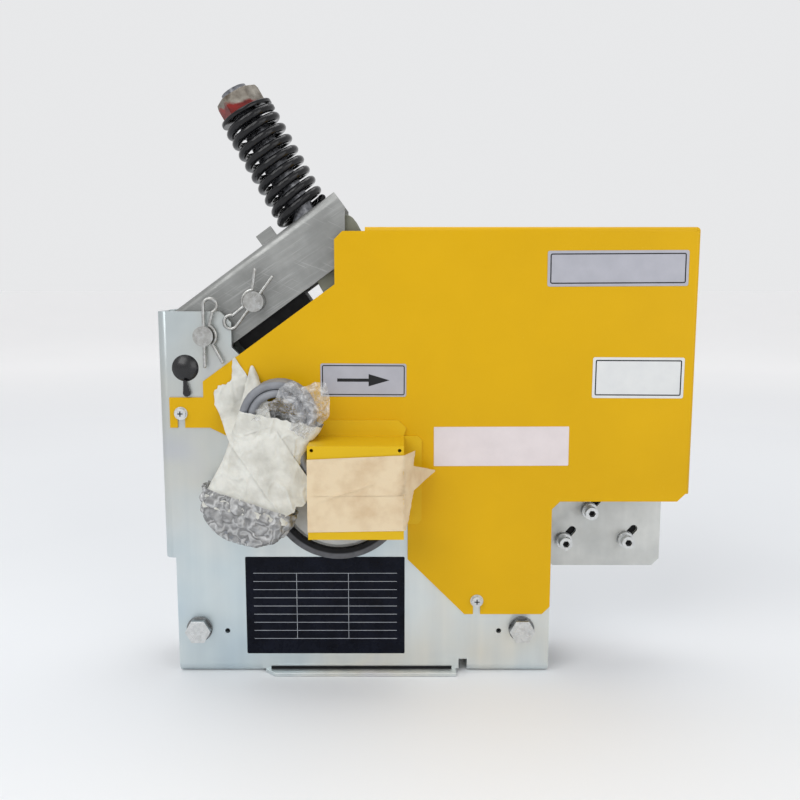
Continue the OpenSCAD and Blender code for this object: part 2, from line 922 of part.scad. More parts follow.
module shoe_clip() {
  color(steel)
    translate([shoe_at[0], 0, shoe_at[1]])
      rotate([0, shoe_clip_lean, 0])
        translate([-shoe_at[0], 0, -shoe_at[1]])
          hairpin(shoe_at, shoe_pin_y + clip_in);
}

// Switch bracket on the rear plate's wing, with slanting slots for its adjusting screws
bracket_y = rear_in - bracket_t;
bracket_screw_r = 3;
bracket_screw_at = [[166.5, 90.5], [217.5, 91.5], [187, 116]];
module switch_bracket() {
  slot_l = 11;
  slot_slope = 50;
  cut = 6;
  color(zinc)
    difference() {
      slab(bracket_y, rear_in)
        polygon([
          [bracket_left + cut, bracket_foot], [bracket_right - cut, bracket_foot],
          [bracket_right, bracket_foot + cut], [bracket_right, bracket_top],
          [bracket_left, bracket_top], [bracket_left, bracket_foot + cut]
        ]);
      for (p = bracket_screw_at)
        slab(bracket_y - 1, rear_in + 1)
          translate(p)
            rotate(slot_slope) {
              circle(r = bracket_screw_r + seat_gap);
              translate([0, -bracket_screw_r - seat_gap])
                square([slot_l, 2 * (bracket_screw_r + seat_gap)]);
              translate([slot_l, 0])
                circle(r = bracket_screw_r + seat_gap);
            }
    }
}

module bracket_screws() {
  stack = [[6.8, 1.6], [5.8, 2], [6.5, 1.6], [5.2, 8]];
  socket = 5;
  color(steel)
    for (p = bracket_screw_at)
      difference() {
        union() {
          for (i = [0:len(stack) - 1]) {
            low = bracket_y - stack_height(stack, i);
            bar(p, stack[i][0], low - stack[i][1], low);
          }
          bar(p, bracket_screw_r, bracket_y - 1, rear_y + thread_out);
        }
        hex(p, socket, bracket_y - stack_height(stack, len(stack)) - 1, bracket_y - 2 * socket);
      }
}
function stack_height(stack, n, i = 0) = i < n ? stack[i][1] + stack_height(stack, n, i + 1) : 0;

switch_side = 8;
switch_under = 6;
lever_in = [10, 18];
switch_at = [bracket_left + switch_side, bracket_top - switch_under - switch_h];
lever_at = switch_at + lever_in;
lever_y = link_y - link_t;
module switch_body() {
  lid_t = 3;
  boss = 7;
  color(black)
    difference() {
      union() {
        slab(bracket_y - switch_depth, bracket_y)
          translate(switch_at)
            square([switch_w, switch_h]);
        slab(bracket_y - switch_depth - lid_t, bracket_y - switch_depth)
          translate(switch_at + [lid_t, lid_t])
            square([switch_w - 2 * lid_t, switch_h - 2 * lid_t]);
        bar(lever_at, boss, lever_y + air_gap, bracket_y - switch_depth);
      }
      bar(lever_at, lever_pin_r + run_gap, lever_y - 1, bracket_y - 2);
    }
}
lever_pin_r = 4;
lever_slope = 203;

module switch_lever() {
  lever_w = 9;
  lever_t = 3;
  roller_r = 4.5;
  tip = lever_at + turn([lever_l, 0], lever_slope);
  color(steel) {
    slab(lever_y - lever_t, lever_y) {
      translate(lever_at)
        rotate(lever_slope)
          translate([0, -lever_w / 2])
            square([lever_l, lever_w]);
      translate(lever_at)
        circle(r = lever_w);
      translate(tip)
        circle(r = roller_r);
    }
    bar(lever_at, lever_pin_r, lever_y - eps, bracket_y - 4);
  }
}

module sheave() {
  groove_depth = rope_d / 2 + rim_r - pitch_r;
  lip = 1.5;
  color(steel)
    difference() {
      union() {
        bar(axis, rim_r, -rim_w / 2, rim_w / 2);
        bar(axis, hub_r, hub_front, 0);
      }
      translate([axis_x, 0, axis_z])
        rotate([90, 0, 0])
          rotate_extrude()
            polygon([
              [rim_r + 1, -rim_w / 2 + lip], [rim_r - groove_depth, -rope_d / 2],
              [rim_r - groove_depth, rope_d / 2], [rim_r + 1, rim_w / 2 - lip]
            ]);
      for (s = [-1, 1])
        translate([axis_x, s * (web_t + rim_w) / 2, axis_z])
          rotate([90, 0, 0])
            difference() {
              cylinder(r = rim_in, h = rim_w, center = true);
              if (s < 0)
                cylinder(r = hub_r, h = rim_w + 1, center = true);
            }
      for (i = [0:web_holes - 1])
        bar(axis + turn([web_hole_at, 0], 360 / web_holes * (i + 0.5)), web_hole_d / 2, -rim_w, rim_w);
      bar(axis, shaft_r + seat_gap, -frame_depth, frame_depth);
      for (a = [0, 180])
        bar(axis + turn([weight_pivot_r, 0], a), weight_pin_d / 2 + seat_gap, -rim_w, rim_w);
      bar(pawl_at, pawl_pin_d / 2 + seat_gap, -rim_w, rim_w);
    }
}
hub_front = -10;
pawl_angle = 250;
pawl_lean = 118;
pawl_at = axis + turn([pawl_pivot_r, 0], pawl_angle);

module shaft() {
  color(steel) {
    bar(axis, shaft_r, front_bearing_y, rear_y + housing_t + 1);
    bar(axis, stub_r, encoder_y + encoder_l / 2 + 1, front_bearing_y + eps);
  }
}

// Pins of the flyweights and of the pawl, fixed in the sheave's web
module weight_pins() {
  color(steel) {
    for (a = [0, 180]) {
      p = axis + turn([weight_pivot_r, 0], a);
      bar(p, weight_pin_d / 2, weight_y - weight_t - 1, web_t / 2);
      bar(p, weight_pin_d / 2 + 1.5, weight_y - weight_t - 2, weight_y - weight_t - air_gap);
    }
    bar(pawl_at, pawl_pin_d / 2, -web_t / 2, ratchet_y + pawl_t + 1);
  }
}
pawl_t = 4;

// A flyweight: a heavy crescent from its pivot round the hub
module crescent(span) {
  difference() {
    union() {
      intersection() {
        difference() {
          circle(r = weight_out_r);
          circle(r = weight_in_r);
        }
        polygon([[0, 0], [2 * weight_out_r, -0.3 * weight_out_r], [2 * weight_out_r, 2 * weight_out_r],
          2 * weight_out_r * [cos(span), sin(span)]]);
      }
      translate([weight_pivot_r, 0])
        circle(r = weight_pin_d + 3);
    }
    translate([weight_pivot_r, 0])
      circle(r = weight_pin_d / 2 + run_gap);
  }
}
weight_span = 118;
striker_r = 3;
striker_angle = 78;
striker_at = axis + turn([weight_out_r - 2 * striker_r, 0], striker_angle);

module flyweight_a() {
  color(steel) {
    slab(weight_y - weight_t, weight_y)
      translate(axis)
        difference() {
          crescent(weight_span);
          translate([weight_pivot_r, link_rise])
            circle(r = link_pin_d / 2 + run_gap);
        }
    bar(striker_at, striker_r, lever_y - striker_r, weight_y - weight_t + eps);
  }
}

// The second flyweight has a tail for the link
module flyweight_b() {
  color(steel)
    slab(weight_y - weight_t, weight_y)
      translate(axis)
        difference() {
          union() {
            rotate(180)
              crescent(weight_span);
            translate([-weight_pivot_r, 0])
              difference() {
                union() {
                  translate([-link_w / 2, weight_pin_d])
                    square([link_w, link_rise - weight_pin_d]);
                  translate([0, link_rise])
                    circle(d = link_w);
                }
                circle(r = weight_pin_d / 2 + run_gap);
              }
          }
          translate([-weight_pivot_r, link_rise])
            circle(r = link_pin_d / 2 + run_gap);
        }
}

module weight_link() {
  ends = [for (s = [-1, 1]) axis + [s * weight_pivot_r, link_rise]];
  color(olive) {
    slab(link_y - link_t, link_y) {
      translate(ends[0] - [0, link_w / 2])
        square([2 * weight_pivot_r, link_w]);
      for (p = ends)
        translate(p)
          circle(d = link_w);
    }
    for (p = ends)
      bar(p, link_pin_d / 2, link_y - eps, weight_y);
  }
}

module ratchet_wheel() {
  step = 360 / tooth_count;
  root = ratchet_r - tooth_h;
  color(steel)
    difference() {
      slab(ratchet_y, trip_y)
        translate(axis)
          polygon([for (i = [0:tooth_count - 1]) each [
            root * [cos(i * step), sin(i * step)],
            ratchet_r * [cos(i * step + 2), sin(i * step + 2)]]]);
      bar(axis, shaft_r + run_gap, -rim_w, 2 * rim_w);
    }
}

module trip_plate() {
  ear = 15;
  neck = [trip_r, 2 * ear];
  color(olive)
    difference() {
      slab(trip_y, trip_y + trip_t) {
        translate(axis)
          circle(r = hub_r + ear / 2);
        translate(axis)
          rotate(rod_slope)
            translate([0, -neck[1] / 2])
              square(neck);
        translate(foot)
          circle(r = ear);
      }
      bar(axis, shaft_r + run_gap, -rim_w, 2 * rim_w);
      bar(foot, yoke_pin_r + seat_gap, -rim_w, 2 * rim_w);
    }
}
yoke_pin_r = 6;

module yoke_pin() {
  head = 2.2;
  color(steel) {
    bar(foot, yoke_pin_r, trip_y, yoke_y + yoke_t + 1);
    bar(foot, yoke_pin_r + 1, yoke_y + yoke_t + air_gap / 2, yoke_y + yoke_t + air_gap / 2 + head);
  }
}

// The pawl's nose points at the ratchet teeth
module pawl() {
  nose = 20;
  color(steel)
    difference() {
      slab(ratchet_y, ratchet_y + pawl_t)
        translate(pawl_at) {
          circle(r = pawl_pin_d);
          rotate(pawl_angle + pawl_lean)
            polygon([[0, -pawl_pin_d], [nose, -2], [nose + 2, 2], [0, pawl_pin_d]]);
        }
      bar(pawl_at, pawl_pin_d / 2 + run_gap, -rim_w, rim_w);
    }
}

// Outline of a yoke cheek across and along the rod
module cheek_outline() {
  corner = 8;
  difference() {
    translate([yoke_left, yoke_low])
      square([yoke_right - yoke_left, yoke_top - yoke_low]);
    translate([yoke_right - corner, yoke_top - corner])
      difference() {
        square(corner + 1);
        circle(r = corner);
      }
  }
}

// Extrudes an outline drawn across and along the rod between two depths
module rod_slab(from_y, to_y) {
  slab(from_y, to_y)
    translate(foot)
      rotate(rod_slope)
        children();
}

module pull_yoke() {
  link = 24;
  color(olive)
    difference() {
      union() {
        rod_slab(yoke_y, yoke_y + yoke_t) {
          cheek_outline();
          translate([-link / 2, 0])
            square([link, yoke_top - link]);
          circle(d = link);
        }
        rod_slab(-yoke_y - yoke_t, -yoke_y)
          cheek_outline();
        rod_slab(-yoke_y - eps, yoke_y + eps)
          translate([yoke_left, yoke_web - yoke_t])
            square([-2 * yoke_left, 2 * yoke_t]);
      }
      on_rod(0)
        cylinder(d = rod_d + 2 * seat_gap, h = rod_top);
      bar(foot, yoke_pin_r + run_gap, -frame_depth, frame_depth);
    }
}

module pull_rod() {
  color(steel)
    on_rod(rod_foot)
      cylinder(d = rod_d, h = rod_top - rod_foot);
}
rod_foot = yoke_web - yoke_t - nut_h - 3;

module rod_nuts() {
  color(steel)
    for (at = [seat_at + seat_t, yoke_web - yoke_t - nut_h])
      on_rod(at)
        difference() {
          intersection() {
            cylinder(d = nut_flats / cos(30), h = nut_h, $fn = 6);
            cylinder(d1 = nut_flats * 1.35, d2 = nut_flats * 1.08, h = nut_h);
          }
          cylinder(d = rod_d + 2 * seat_gap, h = 3 * nut_h, center = true);
        }
}

module spring_seat() {
  color(black)
    on_rod(seat_at)
      difference() {
        cylinder(d = spring_d - 2, h = seat_t);
        cylinder(d = rod_d + 2 * seat_gap, h = 3 * seat_t, center = true);
      }
}

// The coil spring: a round wire swept along a helix with closed ends, its foot leaning with the arm
module clamp_spring() {
  sides = 10;
  steps = 20;
  coil_r = (spring_d - spring_wire) / 2;
  count = spring_turns * steps;
  travel = spring_l - spring_wire;
  lean = tan(arm_slope - rod_slope);
  lean_turns = 4;
  end_pitch = spring_wire + air_gap / 4;
  pitch = (travel - 2 * end_pitch) / (spring_turns - 2);
  function rise(t) = t < 1 ? end_pitch * t
    : t > spring_turns - 1 ? travel - end_pitch * (spring_turns - t) : end_pitch + pitch * (t - 1);
  function fade(t) = 1 - min(max((t - 1) / lean_turns, 0), 1);
  function ring(i) = let (a = 360 * i / steps, t = i / steps)
    [for (k = [0:sides - 1]) let (b = 360 * k / sides, r = coil_r + spring_wire / 2 * cos(b))
      [r * cos(a), r * sin(a), spring_wire / 2 * (1 + sin(b)) + rise(t) + lean * fade(t) * r * cos(a)]];
  color(black)
    on_rod(spring_at)
      polyhedron(
        points = [for (i = [0:count]) each ring(i)],
        faces = concat(
          [[for (k = [sides - 1:-1:0]) k]],
          [for (i = [0:count - 1]) for (k = [0:sides - 1])
            [i * sides + k, i * sides + (k + 1) % sides, (i + 1) * sides + (k + 1) % sides, (i + 1) * sides + k]],
          [[for (k = [0:sides - 1]) count * sides + k]]
        )
      );
}

// Side outline of the arm, with its slanting end
module arm_outline() {
  polygon([
    [-arm_tail, -arm_below], [arm_reach - (arm_nose + arm_below) / nose_slope, -arm_below],
    [arm_reach, arm_nose], [arm_reach, arm_above], [-arm_tail, arm_above]
  ]);
}

// Section of the arm's channel, open below
module channel_section() {
  module rounded(w, r) {
    translate([-w / 2, -2 * arm_below])
      square([w, 2 * arm_below + arm_above - (arm_w - w) / 2 - r]);
    translate([-w / 2 + r, -2 * arm_below])
      square([w - 2 * r, 2 * arm_below + arm_above - (arm_w - w) / 2]);
    for (s = [-1, 1])
      translate([s * (w / 2 - r), arm_above - (arm_w - w) / 2 - r])
        circle(r = r);
  }
  difference() {
    rounded(arm_w, arm_bend);
    rounded(arm_w - 2 * arm_t, arm_bend - arm_t);
  }
}

module clamp_arm() {
  lug = [70, 14, 12];
  lug_t = 4;
  lug_y = arm_w / 2 - arm_bend - 2 * lug_t;
  slot_r = rod_d / 2 + 1;
  slot_l = 7;
  color(zinc)
    difference() {
      union() {
        intersection() {
          slab(-arm_w, arm_w)
            on_arm()
              arm_outline();
          translate([pivot_x, 0, pivot_z])
            rotate([0, -arm_slope, 0])
              rotate([90, 0, 90])
                translate([0, 0, -2 * arm_tail])
                  linear_extrude(2 * arm_reach)
                    channel_section();
        }
        slab(lug_y, lug_y + lug_t)
          on_arm()
            translate([lug[0], arm_above - eps])
              square([lug[1], lug[2]]);
      }
      bar(pivot, shoe_pin_r + run_gap, -arm_w, arm_w);
      bar(shoe_at, shoe_pin_r + seat_gap, -arm_w, arm_w);
      on_rod(web_at - 2 * arm_t) {
        for (s = [-1, 1])
          translate([s * slot_l / 2, 0, 0])
            cylinder(r = slot_r, h = 4 * arm_t);
        translate([-slot_l / 2, -slot_r, 0])
          cube([slot_l, 2 * slot_r, 4 * arm_t]);
      }
    }
}

// The shoe's face is round the sheave when the arm has clamped the rope
module rope_shoe() {
  face_r = pitch_r + rope_d / 2 + air_gap;
  shoe_top = 11;
  shoe_deep = 90;
  shoe_from = 14;
  relief = 4;
  color(black)
    difference() {
      slab(-shoe_w / 2, shoe_w / 2)
        difference() {
          on_arm()
            translate([shoe_from, -shoe_deep])
              square([shoe_l, shoe_deep + shoe_top]);
          translate(axis - clamp_move)
            circle(r = face_r, $fn = 128);
        }
      bar(shoe_at, shoe_pin_r + run_gap, -arm_w, arm_w);
      for (s = [-1, 1])
        slab(s * shoe_w / 2 - relief / 2, s * shoe_w / 2 + relief / 2)
          on_arm()
            translate([shoe_from + 2 * relief, -shoe_deep / 2 - relief])
              square([shoe_l - 4 * relief, shoe_deep / 4]);
    }
}

front_plate();
rear_plate();
base_plate();
frame_bolts();
frame_nuts();
frame_spacers();
front_housing();
rear_housing();
front_bearing();
rear_bearing();
edge_trim();
main_cover();
cover_screws();
encoder_guard();
encoder();
encoder_stay();
cable_gland();
cable_lead();
cable_hank();
cable_connector();
rubber_plug();
pivot_pin();
pivot_clip();
switch_bracket();
bracket_screws();
switch_body();
switch_lever();
sheave();
shaft();
weight_pins();
flyweight_a();
flyweight_b();
weight_link();
ratchet_wheel();
trip_plate();
pawl();
pull_yoke();
yoke_pin();
pull_rod();
rod_nuts();
spring_seat();
clamp_spring();
clamp_arm();
shoe_pin();
shoe_clip();
rope_shoe();
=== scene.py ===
"""Dresses the overspeed governor: finishes, cable, tape, film, labels, light and camera."""
import math

import bpy
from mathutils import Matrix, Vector, noise


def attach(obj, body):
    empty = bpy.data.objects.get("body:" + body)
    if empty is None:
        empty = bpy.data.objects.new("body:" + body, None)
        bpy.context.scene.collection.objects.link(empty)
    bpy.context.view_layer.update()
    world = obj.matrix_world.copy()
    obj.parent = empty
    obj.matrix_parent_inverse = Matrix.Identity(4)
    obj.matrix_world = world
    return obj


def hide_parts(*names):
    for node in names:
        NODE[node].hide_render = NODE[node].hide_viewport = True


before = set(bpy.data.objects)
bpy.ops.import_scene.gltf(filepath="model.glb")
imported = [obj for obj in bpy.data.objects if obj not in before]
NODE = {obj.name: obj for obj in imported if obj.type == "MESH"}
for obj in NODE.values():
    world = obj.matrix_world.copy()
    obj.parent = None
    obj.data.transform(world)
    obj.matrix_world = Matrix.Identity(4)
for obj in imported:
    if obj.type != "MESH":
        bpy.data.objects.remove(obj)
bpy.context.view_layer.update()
MM = 0.001

# Planes of the front faces, mm
PLATE_FRONT = -31.0
COVER_FRONT = -32.6
GUARD_FRONT = -74.6

# Cable and its hank, mm; the cable leaves its gland along CABLE_WAY, and LEAD_PULL is the share of the first
# stretch for which it keeps its way at either end
CABLE_D = 6.0
HANK_MID = Vector((-69.9, 0.0, 172.0))
HANK_LEAN = math.radians(19)
HANK_RUN = 35.0
HANK_OUTER_R = 24.5
HANK_INNER_R = 18.4
LAYER_FRONT = -54.4
LAYER_STEP = 6.17
HANK_LAYERS = 4
CABLE_EXIT = (-34.4, -54.5, 163.9)
CABLE_WAY = Vector((-0.7071, 0, 0.7071))
LEAD_PULL = 0.36
LEAD_JOIN = 22.0
CONNECTOR_U = -8.95
CONNECTOR_Y = -51.4
CONNECTOR_IN = -2.0

# Where along the hank a run changes its layer: start and length, mm
DOWN_SHIFT = (25.0, 50.0)
UP_SHIFT = (-33.0, 43.0)


def to_m(p):
    """A point in millimetres as one in metres."""
    return Vector(p) * MM


def link(obj):
    bpy.context.scene.collection.objects.link(obj)
    return obj


def ease(t):
    """A smooth step from 0 to 1."""
    t = min(max(t, 0.0), 1.0)
    return t * t * (3 - 2 * t)


def grid_faces(rows, cols, closed=False):
    """Quads of a grid stored row by row; closed joins the last column to the first."""
    out = []
    for i in range(rows - 1):
        for j in range(cols if closed else cols - 1):
            k = (j + 1) % cols
            out.append((i * cols + j, i * cols + k, (i + 1) * cols + k, (i + 1) * cols + j))
    return out


# Camera: lens and sensor in mm, its place and how far it sees in metres, and how far it looks down
LENS, SENSOR = 39.15, 36.0
CAMERA_AT = (0.0307, -0.677, 0.3062)
CAMERA_SIGHT = 20.0
CAMERA_DOWN = 8


def make_camera():
    data = bpy.data.cameras.new("camera")
    data.lens = LENS
    data.sensor_width = SENSOR
    data.clip_end = CAMERA_SIGHT
    cam = link(bpy.data.objects.new("camera", data))
    cam.location = CAMERA_AT
    cam.rotation_euler = (math.radians(90 - CAMERA_DOWN), 0, 0)
    bpy.context.scene.camera = cam


# Cable

def hank_point(u, v, y):
    """A point given across the hank, along the hank and in depth, mm."""
    c, s = math.cos(HANK_LEAN), math.sin(HANK_LEAN)
    return Vector((HANK_MID.x + u * c + v * s, y, HANK_MID.z - u * s + v * c))


def lead_in(joint, steps=8):
    """The first stretch: out of the gland and up into the hank's front right run."""
    a, d = Vector(CABLE_EXIT), joint
    reach = (d - a).length * LEAD_PULL
    b = a + reach * CABLE_WAY
    c = d - reach * Vector((math.sin(HANK_LEAN), 0, math.cos(HANK_LEAN)))
    out = []
    for i in range(steps):
        t = i / steps
        s = 1 - t
        out.append(a * s ** 3 + b * 3 * t * s ** 2 + c * 3 * t * t * s + d * t ** 3)
    return out


def layer_depth(k):
    """Depth of a layer of the hank, counted from the front, mm."""
    return LAYER_FRONT + LAYER_STEP * k


def cable_route():
    """Outer turns from front to back, inner turns from back to front, and the end in the connector."""
    layers = range(HANK_LAYERS)
    slots = [(HANK_OUTER_R, k) for k in layers] + [(HANK_INNER_R, k) for k in reversed(layers)]
    fold_steps, run_steps = 16, 10
    join = hank_point(HANK_OUTER_R, LEAD_JOIN, layer_depth(0))
    pts = lead_in(join) + [join]
    for i, (r, k) in enumerate(slots):
        for j in range(fold_steps + 1):
            a = math.pi * j / fold_steps
            pts.append(hank_point(r * math.cos(a), HANK_RUN + r * math.sin(a), layer_depth(k)))
        if i == len(slots) - 1:
            break
        next_r, next_k = slots[i + 1]
        inner = i >= HANK_LAYERS
        for j in range(1, run_steps):
            v = HANK_RUN * (1 - 2 * j / run_steps)
            shift = ease((DOWN_SHIFT[0] - v) / DOWN_SHIFT[1]) if inner else 0
            pts.append(hank_point(-r, v, layer_depth(k + (next_k - k) * shift)))
        k_low = next_k if inner else k
        for j in range(fold_steps + 1):
            a = math.pi * (1 + j / fold_steps)
            rr = r + (next_r - r) * ease(j / fold_steps)
            pts.append(hank_point(rr * math.cos(a), -HANK_RUN + rr * math.sin(a), layer_depth(k_low)))
        for j in range(1, run_steps):
            v = HANK_RUN * (2 * j / run_steps - 1)
            shift = ease((v - UP_SHIFT[0]) / UP_SHIFT[1])
            pts.append(hank_point(next_r, v, layer_depth(k_low + (next_k - k_low) * shift)))
    return pts + connector_bend(HANK_INNER_R, layer_depth(0))


def connector_bend(r, y):
    """Two equal arcs from the last run to the connector tucked into the hank."""
    along, d = HANK_RUN, CONNECTOR_U + r
    radius = (along * along + d * d) / (4 * d)
    turn = 2 * math.atan(d / along)
    steps = 10
    out = []
    for i in range(1, 2 * steps + 1):
        t = i / steps
        if t <= 1:
            side, ahead = radius * (1 - math.cos(turn * t)), radius * math.sin(turn * t)
        else:
            side = d - radius * (1 - math.cos(turn * (2 - t)))
            ahead = along - radius * math.sin(turn * (2 - t))
        out.append(hank_point(side - r, HANK_RUN - ahead, y + (CONNECTOR_Y - y) * (side / d) ** 2))
    out.append(hank_point(CONNECTOR_U, CONNECTOR_IN, CONNECTOR_Y))
    return out


def tube(pts, radius, sides=16):
    """Corners and faces of a closed round tube along the points."""
    last = len(pts) - 1
    tangents = [(pts[min(i + 1, last)] - pts[max(i - 1, 0)]).normalized() for i in range(last + 1)]
    side = tangents[0].orthogonal().normalized()
    verts = []
    for p, t in zip(pts, tangents):
        side = (side - t * side.dot(t)).normalized()
        other = t.cross(side)
        for k in range(sides):
            a = 2 * math.pi * k / sides
            verts.append(p + (side * math.cos(a) + other * math.sin(a)) * radius)
    faces = grid_faces(len(pts), sides, closed=True)
    faces.append(tuple(range(sides))[::-1])
    faces.append(tuple(range(len(verts) - sides, len(verts))))
    return verts, faces


def make_cable():
    pts = cable_route()
    verts, faces = tube(pts, CABLE_D / 2)
    mesh = bpy.data.meshes.new("encoder_cable")
    mesh.from_pydata([to_m(v) for v in verts], [], faces)
    mesh.polygons.foreach_set("use_smooth", [len(face) == 4 for face in faces])
    obj = link(bpy.data.objects.new("encoder_cable", mesh))
    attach(obj, "frame")
    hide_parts("cable_lead", "cable_hank")
    return obj


make_camera()
cable = make_cable()


# Finishes

def srgb(r, g, b):
    """A screen colour, 0 to 255, as a linear colour."""
    tones = [c / 255 for c in (r, g, b)]
    return tuple(c / 12.92 if c <= 0.04045 else ((c + 0.055) / 1.055) ** 2.4 for c in tones) + (1.0,)


def grey(tone):
    """A screen grey, 0 to 255, as a linear colour."""
    return srgb(tone, tone, tone)


NOISE_ROUGHNESS = 0.55


class Finish:
    """A procedural material under construction: its node tree and its shader."""

    def __init__(self, name, metallic=0.0, specular=0.5):
        self.mat = bpy.data.materials.new(name)
        self.mat.use_nodes = True
        self.tree = self.mat.node_tree
        self.shader = self.tree.nodes["Principled BSDF"]
        self.shader.inputs["Metallic"].default_value = metallic
        self.shader.inputs["Specular IOR Level"].default_value = specular
        self.coords = self.tree.nodes.new("ShaderNodeTexCoord").outputs["Object"]

    def node(self, kind, **inputs):
        n = self.tree.nodes.new(kind)
        for key, value in inputs.items():
            self.put(n.inputs[key.replace("_", " ")], value)
        return n

    def put(self, socket, value):
        if isinstance(value, bpy.types.NodeSocket):
            self.tree.links.new(value, socket)
        else:
            socket.default_value = value

    def turn(self, angle):
        """Turns the coordinates of later textures about Y."""
        self.coords = self.node("ShaderNodeMapping", Vector=self.coords, Rotation=(0, angle, 0)).outputs[0]

    def noise(self, scale, detail, stretch=(1, 1, 1)):
        """Grey noise; scale counts the spots per metre."""
        place = self.node("ShaderNodeMapping", Vector=self.coords, Scale=stretch)
        n = self.node("ShaderNodeTexNoise", Vector=place.outputs[0], Scale=scale, Detail=detail,
                      Roughness=NOISE_ROUGHNESS)
        return n.outputs[0]

    def warp(self, scale, reach):
        """Shifts the coordinates of later textures by a noise, up to that many metres."""
        shift = self.node("ShaderNodeTexNoise", Vector=self.coords, Scale=scale, Detail=3.0)
        shift = self.vector_math("SUBTRACT", shift.outputs["Color"], (0.5, 0.5, 0.5))
        shift = self.vector_math("MULTIPLY", shift, (2 * reach,) * 3)
        self.coords = self.vector_math("ADD", shift, self.coords)

    def ramp(self, fac, *stops):
        n = self.node("ShaderNodeValToRGB", Fac=fac)
        el = n.color_ramp.elements
        while len(el) < len(stops):
            el.new(0.5)
        for e, (at, colour) in zip(el, stops):
            e.position = at
            e.color = colour
        return n.outputs[0]

    def span(self, fac, low, high, at=(0.3, 0.7)):
        """Maps a grey value onto a range."""
        n = self.node("ShaderNodeMapRange", Value=fac)
        for key, v in zip((1, 2, 3, 4), (*at, low, high)):
            n.inputs[key].default_value = v
        return n.outputs[0]

    def mix(self, fac, a, b):
        n = self.tree.nodes.new("ShaderNodeMix")
        n.data_type = "RGBA"
        for key, v in ((0, fac), (6, a), (7, b)):
            self.put(n.inputs[key], v)
        return n.outputs[2]

    def combine(self, node_kind, operation, a, b):
        n = self.tree.nodes.new(node_kind)
        n.operation = operation
        self.put(n.inputs[0], a)
        self.put(n.inputs[1], b)
        return n.outputs[0]

    def math(self, operation, a, b):
        return self.combine("ShaderNodeMath", operation, a, b)

    def vector_math(self, operation, a, b):
        return self.combine("ShaderNodeVectorMath", operation, a, b)

    def place(self, axis):
        """The object coordinate along X, Y or Z, in metres."""
        return self.node("ShaderNodeSeparateXYZ", Vector=self.coords).outputs[axis]

    def bump(self, height, strength, distance):
        n = self.node("ShaderNodeBump", Height=height, Strength=strength, Distance=distance * MM)
        self.put(self.shader.inputs["Normal"], n.outputs[0])

    def colour(self, value):
        self.put(self.shader.inputs["Base Color"], value)

    def rough(self, value):
        self.put(self.shader.inputs["Roughness"], value)


# Heights between which the plates' tone grows darker upwards as painted shade, in metres
ZINC_SHADE_HEIGHTS = (0.06, 0.20)


def zinc_plate():
    """Pale blue zinc with a faint rainbow film, rolling lines and a few dull spots, darker towards the top as
    painted shade.
    """
    f = Finish("zinc_plate", metallic=0.85)
    film = f.ramp(f.noise(7, 3), (0.30, srgb(184, 201, 211)), (0.42, srgb(202, 213, 216)),
                  (0.52, srgb(215, 220, 219)), (0.62, srgb(219, 217, 208)), (0.72, srgb(204, 203, 213)))
    streak = f.noise(90, 5, (1, 1, 0.06))
    wear_and_sheen = f.mix(f.span(streak, 0.0, 0.22), film, srgb(172, 184, 192))
    # Painted shade: the plates darken towards the top.
    f.colour(f.mix(f.span(f.place(2), 0.0, 0.42, ZINC_SHADE_HEIGHTS), wear_and_sheen, srgb(140, 150, 152)))
    f.rough(f.span(f.noise(60, 6), 0.30, 0.48))
    f.bump(f.noise(900, 3, (1, 1, 0.08)), 0.10, 0.05)
    return f.mat


def zinc_matt(name, dark, light, metallic=0.8):
    """Dull plated sheet with cloudy tone and fine rolling scratches."""
    f = Finish(name, metallic=metallic)
    f.colour(f.mix(f.span(f.noise(160, 6, (1, 1, 0.15)), 0.0, 0.35),
                   f.ramp(f.noise(28, 5), (0.3, dark), (0.7, light)), dark))
    f.rough(f.span(f.noise(80, 6), 0.38, 0.58))
    f.bump(f.noise(1200, 4, (0.1, 1, 1)), 0.14, 0.06)
    return f.mat


# The bolts' front faces, and how far behind them the bright zinc turns to the darker grey of painted shade, in
# metres
BOLT_FACE_Y = min((NODE["frame_bolts"].matrix_world @ Vector(c)).y for c in NODE["frame_bolts"].bound_box)
BOLT_SHADE_DEPTHS = (0.0003, 0.0012)

# Slopes of the arm's rolling lines and of the scratches across them, about Y
ARM_SLOPE = math.radians(33)
ARM_SCRATCH_SLOPE = math.radians(-24)


def arm_zinc():
    """The arm's dull zinc: rolling lines along the arm and a few pale scratches across them."""
    f = Finish("zinc_matt", metallic=0.8)
    object_coords = f.coords
    f.turn(ARM_SLOPE)
    cloud = f.ramp(f.noise(28, 5), (0.3, srgb(132, 133, 131)), (0.7, srgb(164, 165, 163)))
    rolling = f.span(f.noise(420, 5, (0.05, 1, 1)), 0.0, 0.3, (0.42, 0.62))
    rolled = f.mix(rolling, cloud, srgb(126, 127, 125))
    lines = f.span(f.noise(900, 2, (0.03, 1, 1)), 0.0, 0.24, (0.60, 0.70))
    f.coords = object_coords
    f.turn(ARM_SCRATCH_SLOPE)
    across = f.span(f.noise(820, 2, (0.05, 1, 1)), 0.0, 0.26, (0.64, 0.72))
    scratches = f.math("MAXIMUM", lines, across)
    f.colour(f.mix(scratches, rolled, srgb(196, 197, 195)))
    f.rough(f.span(f.noise(80, 6), 0.38, 0.58))
    f.bump(f.math("SUBTRACT", f.noise(1200, 4), scratches), 0.14, 0.06)
    return f.mat


# Where steel's stained, middle and bright tones lie on the noise, and the tones of bright zinc
STEEL_STOPS = (0.28, 0.5, 0.7)
BRIGHT_TONES = (srgb(190, 191, 190), srgb(206, 208, 208), srgb(218, 219, 219))


def turned_steel(name, *tones):
    """Turned and plated steel with light stains."""
    f = Finish(name, metallic=1.0)
    f.colour(f.ramp(f.noise(340, 6), *zip(STEEL_STOPS, tones)))
    f.rough(f.span(f.noise(260, 4), 0.22, 0.42))
    f.bump(f.noise(1800, 3, (0.05, 1, 1)), 0.12, 0.05)
    return f.mat


